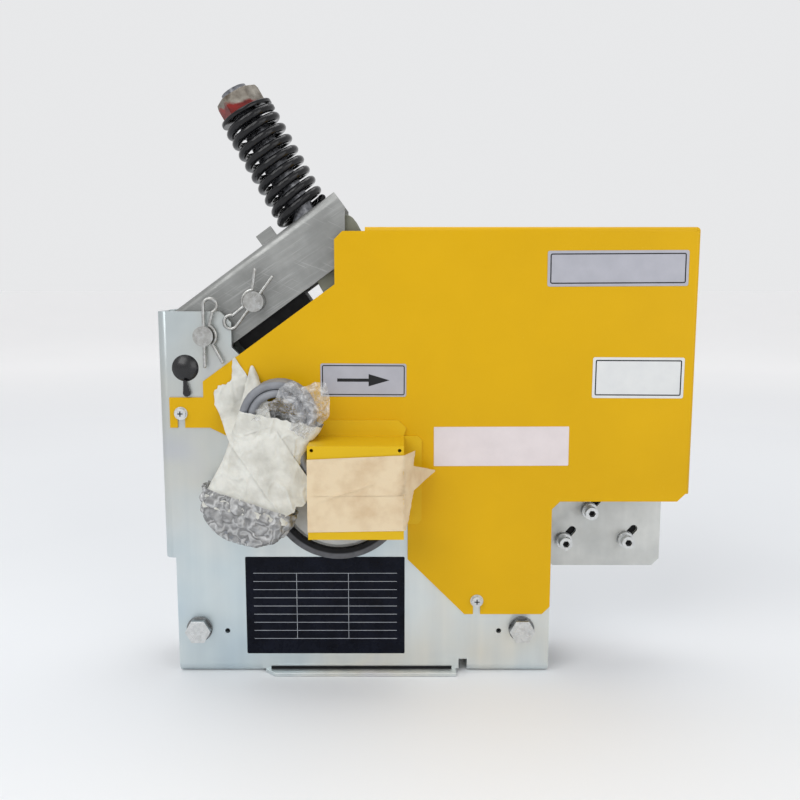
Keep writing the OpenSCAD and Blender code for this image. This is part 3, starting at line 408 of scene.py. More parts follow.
def bolt_zinc():
    """Bright zinc on the bolts: plain front faces, sides darkened with painted shade."""
    f = Finish("bolt_zinc", metallic=1.0)
    plain_zinc = f.ramp(f.noise(340, 6), *zip(STEEL_STOPS, BRIGHT_TONES))
    # Painted shade: the bolts' sides, behind their front faces, turn darker grey.
    side = f.span(f.place(1), 0.0, 0.75, [BOLT_FACE_Y + behind for behind in BOLT_SHADE_DEPTHS])
    f.colour(f.mix(side, plain_zinc, srgb(92, 94, 96)))
    f.rough(f.span(f.noise(260, 4), 0.22, 0.42))
    f.bump(f.noise(1800, 3), 0.08, 0.05)
    return f.mat


def yellow_paint(name, dark, light):
    """Satin yellow paint with a soft orange peel, faint clouds and a little dust."""
    f = Finish(name, specular=0.2)
    cloud = f.ramp(f.noise(9, 4), (0.3, dark), (0.7, light))
    dust = f.span(f.noise(700, 2), 0.0, 0.18, (0.66, 0.74))
    f.colour(f.mix(dust, cloud, srgb(226, 190, 70)))
    f.rough(f.span(f.noise(45, 5), 0.34, 0.46))
    f.bump(f.noise(420, 2), 0.10, 0.12)
    return f.mat


def cast_paint(name, dark, light, metallic=0.1):
    """Painted or machined casting with a grainy skin."""
    f = Finish(name, metallic=metallic)
    f.colour(f.ramp(f.noise(70, 6), (0.3, dark), (0.7, light)))
    f.rough(f.span(f.noise(150, 4), 0.45, 0.65))
    f.bump(f.noise(650, 5), 0.25, 0.2)
    return f.mat


def black_coat(name, rough, grain, specular=0.3, dusty=0.16):
    """Black paint, rubber or plastic: near-black clouds, a fine grain and pale dust in the grain."""
    f = Finish(name, specular=specular)
    cloud = f.ramp(f.noise(60, 5), (0.3, srgb(9, 9, 11)), (0.7, srgb(21, 21, 24)))
    dust = f.span(f.noise(900, 3), 0.0, dusty, (0.62, 0.78))
    f.colour(f.mix(dust, cloud, srgb(82, 82, 84)))
    f.rough(f.span(f.noise(200, 4), *rough))
    f.bump(f.noise(grain, 3), 0.18, 0.1)
    return f.mat


# The shaft's axis across and up, and the trim's radii between which its black turns to the grey of a painted
# highlight, in metres
AXIS_X, AXIS_Z = -0.016, 0.1455
TRIM_HIGHLIGHT_RADII = (0.0484, 0.0496)


def trim_rubber():
    """Black rubber trim whose outer rim carries a painted grey highlight."""
    f = Finish("trim_rubber", specular=0.25)
    square = f.math("ADD", f.math("POWER", f.math("SUBTRACT", f.place(0), AXIS_X), 2.0),
                    f.math("POWER", f.math("SUBTRACT", f.place(2), AXIS_Z), 2.0))
    black = f.ramp(f.noise(60, 5), (0.3, srgb(8, 8, 10)), (0.7, srgb(17, 17, 19)))
    # Painted highlight: the grey on the trim's outer rim.
    wear_and_sheen = f.ramp(f.noise(90, 5), (0.3, srgb(84, 85, 88)), (0.7, srgb(112, 113, 117)))
    f.colour(f.mix(f.span(f.math("POWER", square, 0.5), 0.0, 1.0, TRIM_HIGHLIGHT_RADII), black, wear_and_sheen))
    f.rough(f.span(f.noise(200, 4), 0.5, 0.7))
    f.bump(f.noise(1400, 3), 0.18, 0.1)
    return f.mat


def cable_jacket():
    f = Finish("cable_jacket", specular=0.45)
    f.colour(f.ramp(f.noise(55, 5), (0.3, srgb(112, 114, 119)), (0.7, srgb(146, 148, 153))))
    f.rough(f.span(f.noise(220, 4), 0.36, 0.52))
    f.bump(f.noise(1300, 3), 0.15, 0.08)
    return f.mat


# The rod's slope and its place across that slope, in metres
ROD_SLOPE = math.radians(29.4)
ROD_ACROSS = 0.1365

# Thread-lock paint on the top nut, in metres along the rod: the fade at its upper edge, and its foot, above the
# lower nut; then the slant of that edge and how far it wanders
NUT_PAINT_EDGE = (0.4262, 0.4280)
NUT_PAINT_FOOT = 0.40
NUT_PAINT_SLANT = 0.3
NUT_PAINT_WANDER = 0.012


def nut_paint():
    """Plated nuts; the top one carries thread-lock paint on its lower left side."""
    f = Finish("nut_paint", metallic=0.35)
    plated = f.ramp(f.noise(120, 5), (0.3, srgb(78, 68, 56)), (0.7, srgb(160, 154, 143)))
    red = f.ramp(f.noise(150, 5), (0.3, srgb(70, 6, 2)), (0.7, srgb(146, 20, 4)))
    c, s = math.cos(ROD_SLOPE), math.sin(ROD_SLOPE)
    along = f.math("SUBTRACT", f.math("MULTIPLY", f.place(2), c), f.math("MULTIPLY", f.place(0), s))
    across = f.math("ADD", f.math("MULTIPLY", f.place(0), c), f.math("MULTIPLY", f.place(2), s))
    slant = f.math("MULTIPLY", f.math("SUBTRACT", across, ROD_ACROSS), NUT_PAINT_SLANT)
    wavy = f.math("ADD", f.math("ADD", along, slant), f.math("MULTIPLY", f.noise(90, 3), NUT_PAINT_WANDER))
    below_edge = f.span(wavy, 1.0, 0.0, NUT_PAINT_EDGE)
    above_foot = f.math("GREATER_THAN", along, NUT_PAINT_FOOT)
    f.colour(f.mix(f.math("MULTIPLY", below_edge, above_foot), plated, red))
    f.rough(f.span(f.noise(140, 4), 0.25, 0.45))
    f.bump(f.noise(500, 3), 0.2, 0.15)
    return f.mat


def paper_tape(name, dark, light):
    """Creped masking tape: fine ribs across it, blotches where it sticks, a little light through it."""
    f = Finish(name, specular=0.3)
    f.colour(f.ramp(f.noise(75, 6), (0.28, dark), (0.6, light)))
    f.shader.inputs["Subsurface Weight"].default_value = 0.12
    f.shader.inputs["Subsurface Radius"].default_value = (0.002, 0.0016, 0.0012)
    f.rough(f.span(f.noise(180, 4), 0.55, 0.75))
    f.bump(f.noise(800, 5, (1, 1, 0.35)), 0.35, 0.22)
    return f.mat


# How bright the film's swirling bands of painted highlight and shade are, one after the other, from its deepest
# to its brightest grey; where the first band lies on the noise, and the step to the next
FILM_SHADING_BANDS = (0.1, 0.85, 0.45, 0.0, 1.0, 0.35, 0.06, 0.92, 0.5)
FILM_BAND_FROM, FILM_BAND_STEP = 0.34, 0.04


def clear_film(name, alpha, cloud, swirl):
    """Clear crumpled film, glossy and cloudy, with dark and pale swirls of painted shade and highlight; cloud
    and swirl are screen greys.
    """
    f = Finish(name, specular=0.7)
    f.warp(50, 0.007)
    haze = f.ramp(f.noise(120, 5), (0.3, grey(cloud[0])), (0.7, grey(cloud[1])))
    # Painted shade and highlight: the grey bands stand in for light and shade on the crumples.
    shading_bands = [(FILM_BAND_FROM + FILM_BAND_STEP * i, grey(swirl[0] + (swirl[1] - swirl[0]) * k))
             for i, k in enumerate(FILM_SHADING_BANDS)]
    f.colour(f.mix(f.span(f.noise(35, 3), 0.35, 0.8), haze, f.ramp(f.noise(56, 2.2), *shading_bands)))
    f.put(f.shader.inputs["Alpha"], f.span(f.noise(230, 6), *alpha))
    f.rough(f.span(f.noise(300, 4), 0.10, 0.28))
    f.bump(f.noise(300, 4), 0.45, 0.5)
    return f.mat


def printed(name, dark, light, metallic=0.0, rough=(0.3, 0.45), specular=0.3):
    """Label stock or ink with faint rubs."""
    f = Finish(name, metallic=metallic, specular=specular)
    f.colour(f.ramp(f.noise(85, 6), (0.3, dark), (0.65, light)))
    f.rough(f.span(f.noise(240, 4), *rough))
    f.bump(f.noise(1500, 2), 0.06, 0.05)
    return f.mat


ZINC = zinc_plate()
ARM_ZINC = arm_zinc()
PALE_ZINC = zinc_matt("zinc_pale", srgb(186, 188, 186), srgb(214, 215, 212))
OLIVE = zinc_matt("olive_plate", srgb(110, 111, 98), srgb(148, 149, 136), 0.7)
STEEL = turned_steel("turned_steel", srgb(154, 153, 150), srgb(172, 172, 169), srgb(188, 189, 189))
BRIGHT_ZINC = turned_steel("bright_zinc", *BRIGHT_TONES)
DARK_STEEL = turned_steel("dark_steel", srgb(84, 85, 89), srgb(118, 119, 123), srgb(150, 151, 154))
YELLOW = yellow_paint("yellow_paint", srgb(210, 163, 0), srgb(219, 171, 2))
GUARD_YELLOW = yellow_paint("guard_yellow", srgb(213, 172, 20), srgb(222, 182, 30))
CAST = cast_paint("cast_paint", srgb(182, 182, 178), srgb(208, 208, 204))
IRON = cast_paint("cast_iron_skin", srgb(84, 85, 86), srgb(118, 118, 119), 0.75)
GLOSS_BLACK = black_coat("gloss_black", (0.04, 0.09), 600, specular=0.32, dusty=0.02)
MATT_BLACK = black_coat("matt_black", (0.45, 0.62), 900)
# A black used only for pieces of painted shade.
SHADE_BLACK = black_coat("shade_black", (0.5, 0.72), 1400, specular=0.2, dusty=0.08)
PLUG = black_coat("plug_rubber", (0.20, 0.32), 1400, specular=0.5, dusty=0.03)
JACKET = cable_jacket()
TAPE_WHITE = paper_tape("tape_white", srgb(190, 188, 179), srgb(221, 220, 212))
TAPE_BEIGE = paper_tape("tape_beige", srgb(208, 183, 148), srgb(224, 204, 171))
FILM = clear_film("bubble_film", (0.70, 0.95), (122, 187), (84, 232))
TORN_FILM = clear_film("torn_film", (0.12, 0.70), (196, 248), (150, 254))
SILVER = printed("label_silver", srgb(170, 170, 178), srgb(177, 177, 185), 0.2)
WHITE = printed("label_white", srgb(214, 215, 215), srgb(220, 221, 220))
PINK = printed("label_pink", srgb(216, 206, 206), srgb(222, 212, 212))
NAVY = printed("plate_navy", srgb(9, 11, 19), srgb(18, 21, 32), 0.0, (0.22, 0.36), 0.08)
INK = printed("ink_black", srgb(14, 14, 16), srgb(24, 24, 26))
PALE_INK = printed("ink_pale", srgb(150, 155, 163), srgb(180, 184, 190))

FINISH_OF = {
    ZINC: "front_plate rear_plate base_plate",
    ARM_ZINC: "clamp_arm",
    PALE_ZINC: "switch_bracket",
    OLIVE: "pull_yoke trip_plate ratchet_wheel",
    STEEL: "frame_spacers front_bearing rear_bearing encoder_stay pivot_pin pivot_clip shaft weight_pins "
           "weight_link yoke_pin shoe_pin shoe_clip pawl switch_lever",
    BRIGHT_ZINC: "frame_nuts cover_screws bracket_screws",
    bolt_zinc(): "frame_bolts",
    YELLOW: "main_cover",
    GUARD_YELLOW: "encoder_guard",
    CAST: "front_housing rear_housing",
    IRON: "sheave flyweight_a flyweight_b",
    GLOSS_BLACK: "clamp_spring spring_seat",
    DARK_STEEL: "pull_rod",
    MATT_BLACK: "rope_shoe encoder cable_gland cable_connector switch_body",
    trim_rubber(): "edge_trim",
    PLUG: "rubber_plug",
    nut_paint(): "rod_nuts",
}


def dress(obj, material):
    obj.data.materials.clear()
    obj.data.materials.append(material)


for material, names in FINISH_OF.items():
    for name in names.split():
        dress(NODE[name], material)
dress(cable, JACKET)


# Small geometry tools

def mesh_piece(name, verts, faces, material, smooth=True):
    """A mesh in millimetres that rides on the frame."""
    mesh = bpy.data.meshes.new(name)
    mesh.from_pydata([to_m(v) for v in verts], [], faces)
    mesh.validate()
    obj = link(bpy.data.objects.new(name, mesh))
    if smooth:
        mesh.polygons.foreach_set("use_smooth", [True] * len(mesh.polygons))
    mesh.update()
    dress(obj, material)
    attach(obj, "frame")
    return obj


def crumple(p, scale, height, seed):
    """Signed noise at a point in mm, for folds of that size and height."""
    return height * noise.noise(Vector(p) / scale + Vector((seed, seed * 1.7, -seed)))


# Labels: a thin body with rounded corners, a border and plain marks

def rounded_outline(w, h, r, steps=5):
    """Points of a rounded rectangle about its middle."""
    pts = []
    for cx, cz, start in ((w / 2 - r, h / 2 - r, 0), (-w / 2 + r, h / 2 - r, 90),
                          (-w / 2 + r, -h / 2 + r, 180), (w / 2 - r, -h / 2 + r, 270)):
        for i in range(steps + 1):
            a = math.radians(start + 90 * i / steps)
            pts.append((cx + r * math.cos(a), cz + r * math.sin(a)))
    return pts


def place_flat(points, centre, turn):
    c, s = math.cos(turn), math.sin(turn)
    return [(centre[0] + x * c - z * s, centre[1] + x * s + z * c) for x, z in points]


# How far a label's front edge is drawn in, mm, and the share of its thickness below that edge
FLAT_INSET = 0.12
FLAT_SIDE = 0.6


def flat_body(name, outline, y, thick, material):
    """A thin prism whose back lies at depth y; its front edge is slightly rounded off."""
    n = len(outline)
    mid = (sum(p[0] for p in outline) / n, sum(p[1] for p in outline) / n)

    def ring(depth, shrink):
        out = []
        for x, z in outline:
            d = math.hypot(x - mid[0], z - mid[1]) or 1
            k = 1 - shrink / d
            out.append((mid[0] + (x - mid[0]) * k, depth, mid[1] + (z - mid[1]) * k))
        return out

    verts = ring(y, 0) + ring(y - thick * FLAT_SIDE, 0) + ring(y - thick, FLAT_INSET)
    faces = grid_faces(3, n, closed=True) + [tuple(range(2 * n, 3 * n)), tuple(range(n - 1, -1, -1))]
    mesh_piece(name, verts, faces, material, smooth=False)


# Thickness of labels, of printed lines and of other print, and the gap under each, mm
LABEL_T = 0.3
LINE_T = 0.06
PRINT_T = 0.05
ON_LABEL = 0.02


def frame_line(name, w, h, r, centre, turn, y, line, material):
    """A closed printed line as a thin raised band."""
    outer = place_flat(rounded_outline(w, h, r), centre, turn)
    inner = place_flat(rounded_outline(w - 2 * line, h - 2 * line, max(r - line, 0.2)), centre, turn)
    n = len(outer)
    front = y - LINE_T
    verts = [(x, front, z) for x, z in outer] + [(x, front, z) for x, z in inner]
    verts += [(x, y, z) for x, z in outer] + [(x, y, z) for x, z in inner]
    faces = []
    for i in range(n):
        j = (i + 1) % n
        faces += [(i, j, n + j, n + i), (2 * n + i, 2 * n + j, j, i), (n + i, n + j, 3 * n + j, 3 * n + i)]
    mesh_piece(name, verts, faces, material, smooth=False)


def label(name, low, high, y, stock, turn=0.0, r=1.5):
    """A label between two corners (x, z) on the face at depth y; returns its middle, size and print depth."""
    w, h = high[0] - low[0], high[1] - low[1]
    centre = ((low[0] + high[0]) / 2, (low[1] + high[1]) / 2)
    flat_body(name, place_flat(rounded_outline(w, h, r), centre, turn), y - ON_LABEL, LABEL_T, stock)
    return centre, (w, h), y - ON_LABEL - LABEL_T - ON_LABEL


def rule(name, centre, offset, size, y):
    """A printed bar on the nameplate."""
    at = (centre[0] + offset[0], centre[1] + offset[1])
    outline = rounded_outline(*size, min(size) * 0.2, 2)
    flat_body(name, place_flat(outline, at, 0.0), y, PRINT_T, PALE_INK)


# Outline of the arrow about its middle, and that middle from the label's, mm
ARROW = ((-20.5, -1.2), (3.0, -1.2), (3.0, -4.6), (18.5, 0), (3.0, 4.6), (3.0, 1.2), (-20.5, 1.2))
ARROW_SHIFT = 1.0

# Ruled lines on the nameplate: rows, space above and between them, both side margins, columns and thickness, mm
PLATE_ROWS, PLATE_HEAD, PLATE_STEP, PLATE_MARGIN = 9, 13, 6.6, 12
PLATE_COLUMNS = (-22.0, 18.0)
RULE_W = 0.35


def make_labels():
    """Four labels on the cover, three of them framed, and the nameplate; tilted as in the photograph."""
    tilt, lean = math.radians(0.3), math.radians(0.2)
    centre, (w, h), y = label("label_top", (138.8, 300.0), (242.3, 326.0), COVER_FRONT, SILVER, tilt)
    frame_line("label_top_line", w - 4, h - 4, 1.5, centre, tilt, y, 0.85, INK)

    centre, (w, h), y = label("label_switch", (174.1, 217.0), (242.3, 247.6), COVER_FRONT, WHITE, -tilt)
    frame_line("label_switch_line", w - 4, h - 4, 1.2, centre, -tilt, y, 0.85, INK)

    centre, (w, h), y = label("label_arrow", (-28.6, 218.2), (35.4, 243.0), COVER_FRONT, SILVER, -tilt)
    frame_line("label_arrow_line", w - 2.4, h - 2.4, 1.5, centre, -tilt, y, 0.75, INK)
    at = (centre[0] + ARROW_SHIFT, centre[1])
    flat_body("label_arrow_mark", place_flat(ARROW, at, -tilt), y, PRINT_T, INK)

    label("label_strip", (56.2, 165.4), (157.8, 195.4), COVER_FRONT, PINK, lean, 0.6)

    centre, (w, h), y = label("nameplate", (-88.5, 15.5), (34.3, 93.6), PLATE_FRONT, NAVY, 0.0, 1.0)
    top, drop = h / 2 - PLATE_HEAD, (PLATE_ROWS - 1) * PLATE_STEP
    for i in range(PLATE_ROWS):
        rule(f"nameplate_row_{i}", centre, (0, top - i * PLATE_STEP), (w - PLATE_MARGIN, RULE_W), y)
    for i, x in enumerate(PLATE_COLUMNS):
        rule(f"nameplate_column_{i}", centre, (x, top - drop / 2), (RULE_W, drop), y)


make_labels()


# Rounding of the sheet-metal and forged edges, mm
EDGE_ROUND = {
    0.45: "main_cover front_plate rear_plate base_plate switch_bracket",
    0.7: "encoder_guard",
    0.6: "clamp_arm pull_yoke rod_nuts frame_bolts frame_nuts rope_shoe spring_seat",
}

# Points this close become one, in metres; faces within the first angle are one, edges past the second are sharp
WELD_REACH = 0.00001
FLAT_ANGLE = math.radians(0.5)
SHARP_ANGLE = math.radians(40)


def weld(obj):
    obj.modifiers.new("weld", "WELD").merge_threshold = WELD_REACH


def soften(obj, width):
    """Rounds the part's sharp edges, so that they catch the light."""
    weld(obj)
    flat = obj.modifiers.new("flat", "DECIMATE")
    flat.decimate_type = "DISSOLVE"
    flat.angle_limit = FLAT_ANGLE
    bevel = obj.modifiers.new("round", "BEVEL")
    bevel.width = width * MM
    bevel.segments = 2
    bevel.limit_method = "ANGLE"
    bevel.angle_limit = SHARP_ANGLE
    bevel.harden_normals = True


def round_wire(obj):
    """Gives a wire that is swept with few sides a round section."""
    weld(obj)
    finer = obj.modifiers.new("finer", "SUBSURF")
    finer.levels = 2
    finer.render_levels = 2


for width, names in EDGE_ROUND.items():
    for name in names.split():
        soften(NODE[name], width)
round_wire(NODE["clamp_spring"])


# The cover's upper right corner: outer edges, front and rear, outer radius and sheet, mm
CORNER_RIGHT, CORNER_TOP = 250.5, 343.0
CORNER_FRONT, CORNER_REAR = -32.6, 27.4
CORNER_R, CORNER_SHEET = 3.0, 1.6
CORNER_STEPS = 12


def cover_corner():
    """The welded corner between the cover's folded top and side, ground to the bend radius."""
    turns = [math.radians(90 / CORNER_STEPS * i) for i in range(CORNER_STEPS + 1)]
    rings = [(math.sin(b), -math.cos(b)) for b in turns[1:]] + [(1.0, None)]
    mid_x, mid_z = CORNER_RIGHT - CORNER_R, CORNER_TOP - CORNER_R
    layers = []
    for r in (CORNER_R, CORNER_R - CORNER_SHEET):
        verts = []
        for out, front in rings:
            y = CORNER_REAR if front is None else CORNER_FRONT + CORNER_R + r * front
            verts += [(mid_x + r * out * math.cos(a), y, mid_z + r * out * math.sin(a)) for a in turns]
        layers.append(verts)
    rows, cols = len(rings), len(turns)
    outer = grid_faces(rows, cols)
    shift = rows * cols
    inner = [tuple(i + shift for i in reversed(face)) for face in outer]
    rim = list(range(cols)) + [r * cols + cols - 1 for r in range(1, rows)]
    rim += [(rows - 1) * cols + c for c in range(cols - 2, -1, -1)]
    rim += [r * cols for r in range(rows - 2, 0, -1)]
    sides = [(a, a + shift, b + shift, b) for a, b in zip(rim, rim[1:] + rim[:1])]
    mesh_piece("cover_corner", layers[0] + layers[1], outer + inner + sides, YELLOW)


cover_corner()


# Bracket screws: places, sockets' flats and floor, slots' ends, radius, slope and floor, and the thickness of
# the painted shade in them, mm
SCREW_AT = ((166.5, 90.5), (217.5, 91.5), (187.0, 116.0))
SOCKET_FLATS, SOCKET_FLOOR = 4.9, 13.5
SLOT_FROM, SLOT_TO, SLOT_R, SLOT_SLOPE, SLOT_FLOOR = 3.2, 11.0, 2.9, math.radians(50), 26.5
SHADE = 0.06


def polygon(r, count):
    """Points of a regular polygon about its middle."""
    turns = [math.radians(360 // count * k) for k in range(count)]
    return [(r * math.cos(a), r * math.sin(a)) for a in turns]


def screw_shades():
    """Painted shade: dark discs at the floor of the screws' sockets and of the slots beside them."""
    hexagon = polygon(SOCKET_FLATS / 2 / math.cos(math.radians(30)), 6)
    turns = [math.radians(15 * k - 90) for k in range(13)]
    slot = [(SLOT_FROM, -SLOT_R)] + [(SLOT_TO + SLOT_R * math.cos(a), SLOT_R * math.sin(a)) for a in turns]
    slot.append((SLOT_FROM, SLOT_R))
    for i, at in enumerate(SCREW_AT):
        # Painted shade in the socket and on the slot floor.
        flat_body(f"socket_shade_{i}", place_flat(hexagon, at, 0.0), SOCKET_FLOOR, SHADE, SHADE_BLACK)
        flat_body(f"slot_shade_{i}", place_flat(slot, at, SLOT_SLOPE), SLOT_FLOOR, SHADE, SHADE_BLACK)


screw_shades()


# Cover screws and their cross recess with its fill of painted shade, tooling holes in the front plate and the
# discs of painted shade in them, mm
COVER_SCREW_AT = ((-133.5, 205.5), (90.0, 59.0))
CROSS_L, CROSS_W, CROSS_FLOOR, CROSS_FILL = 3.9, 0.8, -34.4, 1.1
TOOLING_AT = ((-103.5, 34.0), (107.5, 34.0))
TOOLING_R, TOOLING_BACK, TOOLING_SHADE_T = 1.95, -27.0, 0.6
TOOLING_SIDES = 24


def small_fills():
    """Painted shade: dark fills in the cover screws' cross recesses and dark discs in the tooling holes."""
    a, b = CROSS_L / 2, CROSS_W / 2
    cross = [(a, -b), (a, b), (b, b), (b, a), (-b, a), (-b, b),
             (-a, b), (-a, -b), (-b, -b), (-b, -a), (b, -a), (b, -b)]
    for i, at in enumerate(COVER_SCREW_AT):
        # Painted shade filling the cross recess.
        flat_body(f"cross_shade_{i}", place_flat(cross, at, 0.0), CROSS_FLOOR, CROSS_FILL, SHADE_BLACK)
    ring = polygon(TOOLING_R, TOOLING_SIDES)
    for i, at in enumerate(TOOLING_AT):
        # A disc of painted shade in the tooling hole.
        flat_body(f"tooling_shade_{i}", place_flat(ring, at, 0.0), TOOLING_BACK, TOOLING_SHADE_T, SHADE_BLACK)


small_fills()


# The painted-shade strip's left and right end, its foot and top, and its thickness, mm
SHADE_STRIP_LEFT, SHADE_STRIP_RIGHT, SHADE_STRIP_LOW, SHADE_STRIP_HIGH, SHADE_STRIP_T = -70.0, 71.0, 3.05, 5.1, 0.9


def base_shade_strip():
    """A black strip of painted shade on the cross plate, along the foot of the front plate, where the gap lies
    in shadow.
    """
    outline = [(SHADE_STRIP_LEFT, SHADE_STRIP_LOW), (SHADE_STRIP_RIGHT, SHADE_STRIP_LOW), (SHADE_STRIP_RIGHT, SHADE_STRIP_HIGH), (SHADE_STRIP_LEFT, SHADE_STRIP_HIGH)]
    # Painted shade: a black strip where the plate's foot lies in shadow.
    flat_body("base_shade_strip", outline, PLATE_FRONT, SHADE_STRIP_T, SHADE_BLACK)


base_shade_strip()


# Tape and film round the hank and over the guard

# The taped sleeve: half its width and depth, its corners, the depth of its middle, its flare, and its ends, mm
SLEEVE_HALF = (27.8, 12.75)
SLEEVE_CORNER = 5.0
SLEEVE_MID_Y = -45.45
SLEEVE_FLARE = 5.0
SLEEVE_LOW, SLEEVE_HIGH = -41.0, 35.5

# Limits for a sheet: the guard's left side and top, the cover's front, and the left and front of the lip, mm
GUARD_LEFT_X = -35.2
GUARD_TOP_Z = 189.5
SHEET_BACK_Y = -32.75
LIP_LEFT_X = -31.8
LIP_FRONT_Y = -34.5


def box_section(half_w, half_d, r, count):
    """Evenly spaced points (across, depth) round a rounded box, from the right over the front."""
    path = []
    for cx, cy, start in ((half_w - r, -half_d + r, 0), (-half_w + r, -half_d + r, 90),
                          (-half_w + r, half_d - r, 180), (half_w - r, half_d - r, 270)):
        for i in range(7):
            a = math.radians(start + 15 * i)
            path.append(Vector((cx + r * math.cos(a), cy - r * math.sin(a))))
    path.append(path[0])
    steps = [(b - a).length for a, b in zip(path, path[1:])]
    total, out, k, done = sum(steps), [], 0, 0.0
    for i in range(count):
        want = total * i / count
        while done + steps[k] < want:
            done += steps[k]
            k += 1
        out.append(path[k].lerp(path[k + 1], (want - done) / steps[k]))
    return out


def crease(point, size, height, seed):
    """Height of sharp creases that run across a crumpled sheet, mm."""
    return height * max(0.0, 1 - 9 * abs(crumple(point, size, 1.0, seed)))


def clear_of_guard(p):
    """The point, moved off the guard's left side, its lip and the cover where they stand beside it."""
    if p.z < GUARD_TOP_Z and p.x > GUARD_LEFT_X:
        p.x = GUARD_LEFT_X
    p.y = min(p.y, SHEET_BACK_Y if p.x < LIP_LEFT_X else LIP_FRONT_Y)
    return p


def hank_tape():
    """Paper tape wound round the hank: a closed sleeve with torn edges and shallow folds."""
    cols, rows = 230, 96
    section = box_section(*SLEEVE_HALF, SLEEVE_CORNER, cols)
    verts = []
    for i in range(rows):
        t = i / (rows - 1)
        for q in section:
            edge = crumple((q.x, q.y, 40 * (t > 0.5)), 6, 1.6, 3) + crumple((q.x, q.y, 9), 1.6, 0.5, 5)
            v = SLEEVE_LOW + (SLEEVE_HIGH - SLEEVE_LOW) * t + edge * abs(2 * t - 1) ** 3
            v += 0.10 * q.x * (1 - t) + 0.14 * q.x * t
            front = 1.0 if q.y < 0 else 0.0
            fold = crumple((q.x, v * 0.6, 1), 9, 0.55, 1) + crumple((q.x * 0.5 + v, v, 2), 3.2, 0.16, 2)
            fold += crease((q.x, v * 0.7, 3), 13, 0.8, 61)
            fold += crease((q.x * 0.6 + v * 0.5, v, 5), 7, 0.4, 62)
            raised = max(front * fold + 0.35 * front, 0)
            wide = 1 + SLEEVE_FLARE / SLEEVE_HALF[0] * ease(-v / 40 if q.x < 0 or v < 0 else (v - 22) / 16)
            verts.append(clear_of_guard(hank_point(q.x * wide, v, SLEEVE_MID_Y + q.y - raised)))
    obj = mesh_piece("hank_tape", verts, grid_faces(rows, cols, closed=True), TAPE_WHITE)


# The strip's ends, its limit beside the guard, its width, and its depth on the cover and over the hank, mm
STRIP_FROM = Vector((-99.8, 0.0, 229.6))
STRIP_TO = Vector((-42.0, 0.0, 141.0))
STRIP_RIGHT_X = -35.8
STRIP_WIDTH = 33.0
STRIP_BASE_Y, STRIP_OVER_Y = COVER_FRONT - 0.25, -59.1

# Where it leaves the cover and where it reaches the hank, as shares of its length
STRIP_LIFT_FROM, STRIP_LIFT_TO = 0.16, 0.46


def cover_strip():
    """The strip that holds the hank: stuck to the cover at its torn upper end, then over the hank's front."""
    rows, cols = 130, 40
    along = STRIP_TO - STRIP_FROM
    side = Vector((along.z, 0, -along.x)).normalized() * -1
    verts = []
    for i in range(rows):
        for j in range(cols):
            w = j / (cols - 1) - 0.5
            tear = 0.035 * math.sin(9 * w + 0.6) + crumple((w * 30, 0, 0), 3, 0.03, 7) - 0.15 * w
            across = side * (w * STRIP_WIDTH)
            limit = (STRIP_RIGHT_X - STRIP_FROM.x - across.x) / along.x
            last = min(1.0 + crumple((w * 30, 5, 0), 4, 0.03, 8), limit)
            s = tear + (last - tear) * i / (rows - 1)
            p = STRIP_FROM + along * s + across
            rise = ease((s - 0.12 * w - STRIP_LIFT_FROM) / (STRIP_LIFT_TO - STRIP_LIFT_FROM))
            y = STRIP_BASE_Y + (STRIP_OVER_Y - STRIP_BASE_Y) * rise
            wave = crumple((p.x, p.z, 4), 8, 0.5, 11) + crumple((p.x * 1.4, p.z * 0.4, 6), 3, 0.2, 12)
            wave += crease((p.x, p.z * 0.6, 3), 12, 0.7, 63) + crease((p.x + p.z, p.z, 8), 6, 0.3, 64)
            p.y = y - max(0.3 + wave, 0.05)
            verts.append(p)
    obj = mesh_piece("cover_strip", verts, grid_faces(rows, cols), TAPE_WHITE)


# The tail's ends, the way it runs across, its width at the root, mm, and its mean width as a share of that
TAIL_ROOT, TAIL_TIP = Vector((-71.0, -59.3, 197.0)), Vector((-80.5, -34.0, 238.0))
TAIL_ACROSS = Vector((0.88, 0, 0.30))
TAIL_WIDTH, TAIL_MEAN = 24.0, 0.8


def strip_tail():
    """A torn end of the wound tape that stands up beside the strip."""
    rows, cols = 28, 14
    verts = []
    for i in range(rows):
        t = i / (rows - 1)
        for j in range(cols):
            w = j / (cols - 1) - 0.5
            torn = 1 - 0.5 * ease((t - 0.45) / 0.55) - 0.16 * math.sin(5 * t) * w
            p = TAIL_ROOT.lerp(TAIL_TIP, t) + TAIL_ACROSS * (w * TAIL_WIDTH * torn)
            p.y += -2.6 * math.sin(math.pi * t) + crumple((p.x, p.z, 3), 4, 0.6, 21)
            p.z += (4.5 * math.sin(6 * w + 0.7) - 9 * abs(w)) * t
            p.y = min(p.y, COVER_FRONT - 0.3)
            verts.append(p)
    obj = mesh_piece("strip_tail", verts, grid_faces(rows, cols), TAPE_WHITE)


# Guard tapes: where they leave the guard, gaps to its front and edge, the shortest end and its way, mm
GUARD_EDGE_X = 33.5
TAPE_GAP, TAPE_EDGE_GAP = 0.12, 0.3
TAPE_END = 2.0
TAPE_BACK = Vector((0.50, 0.866))


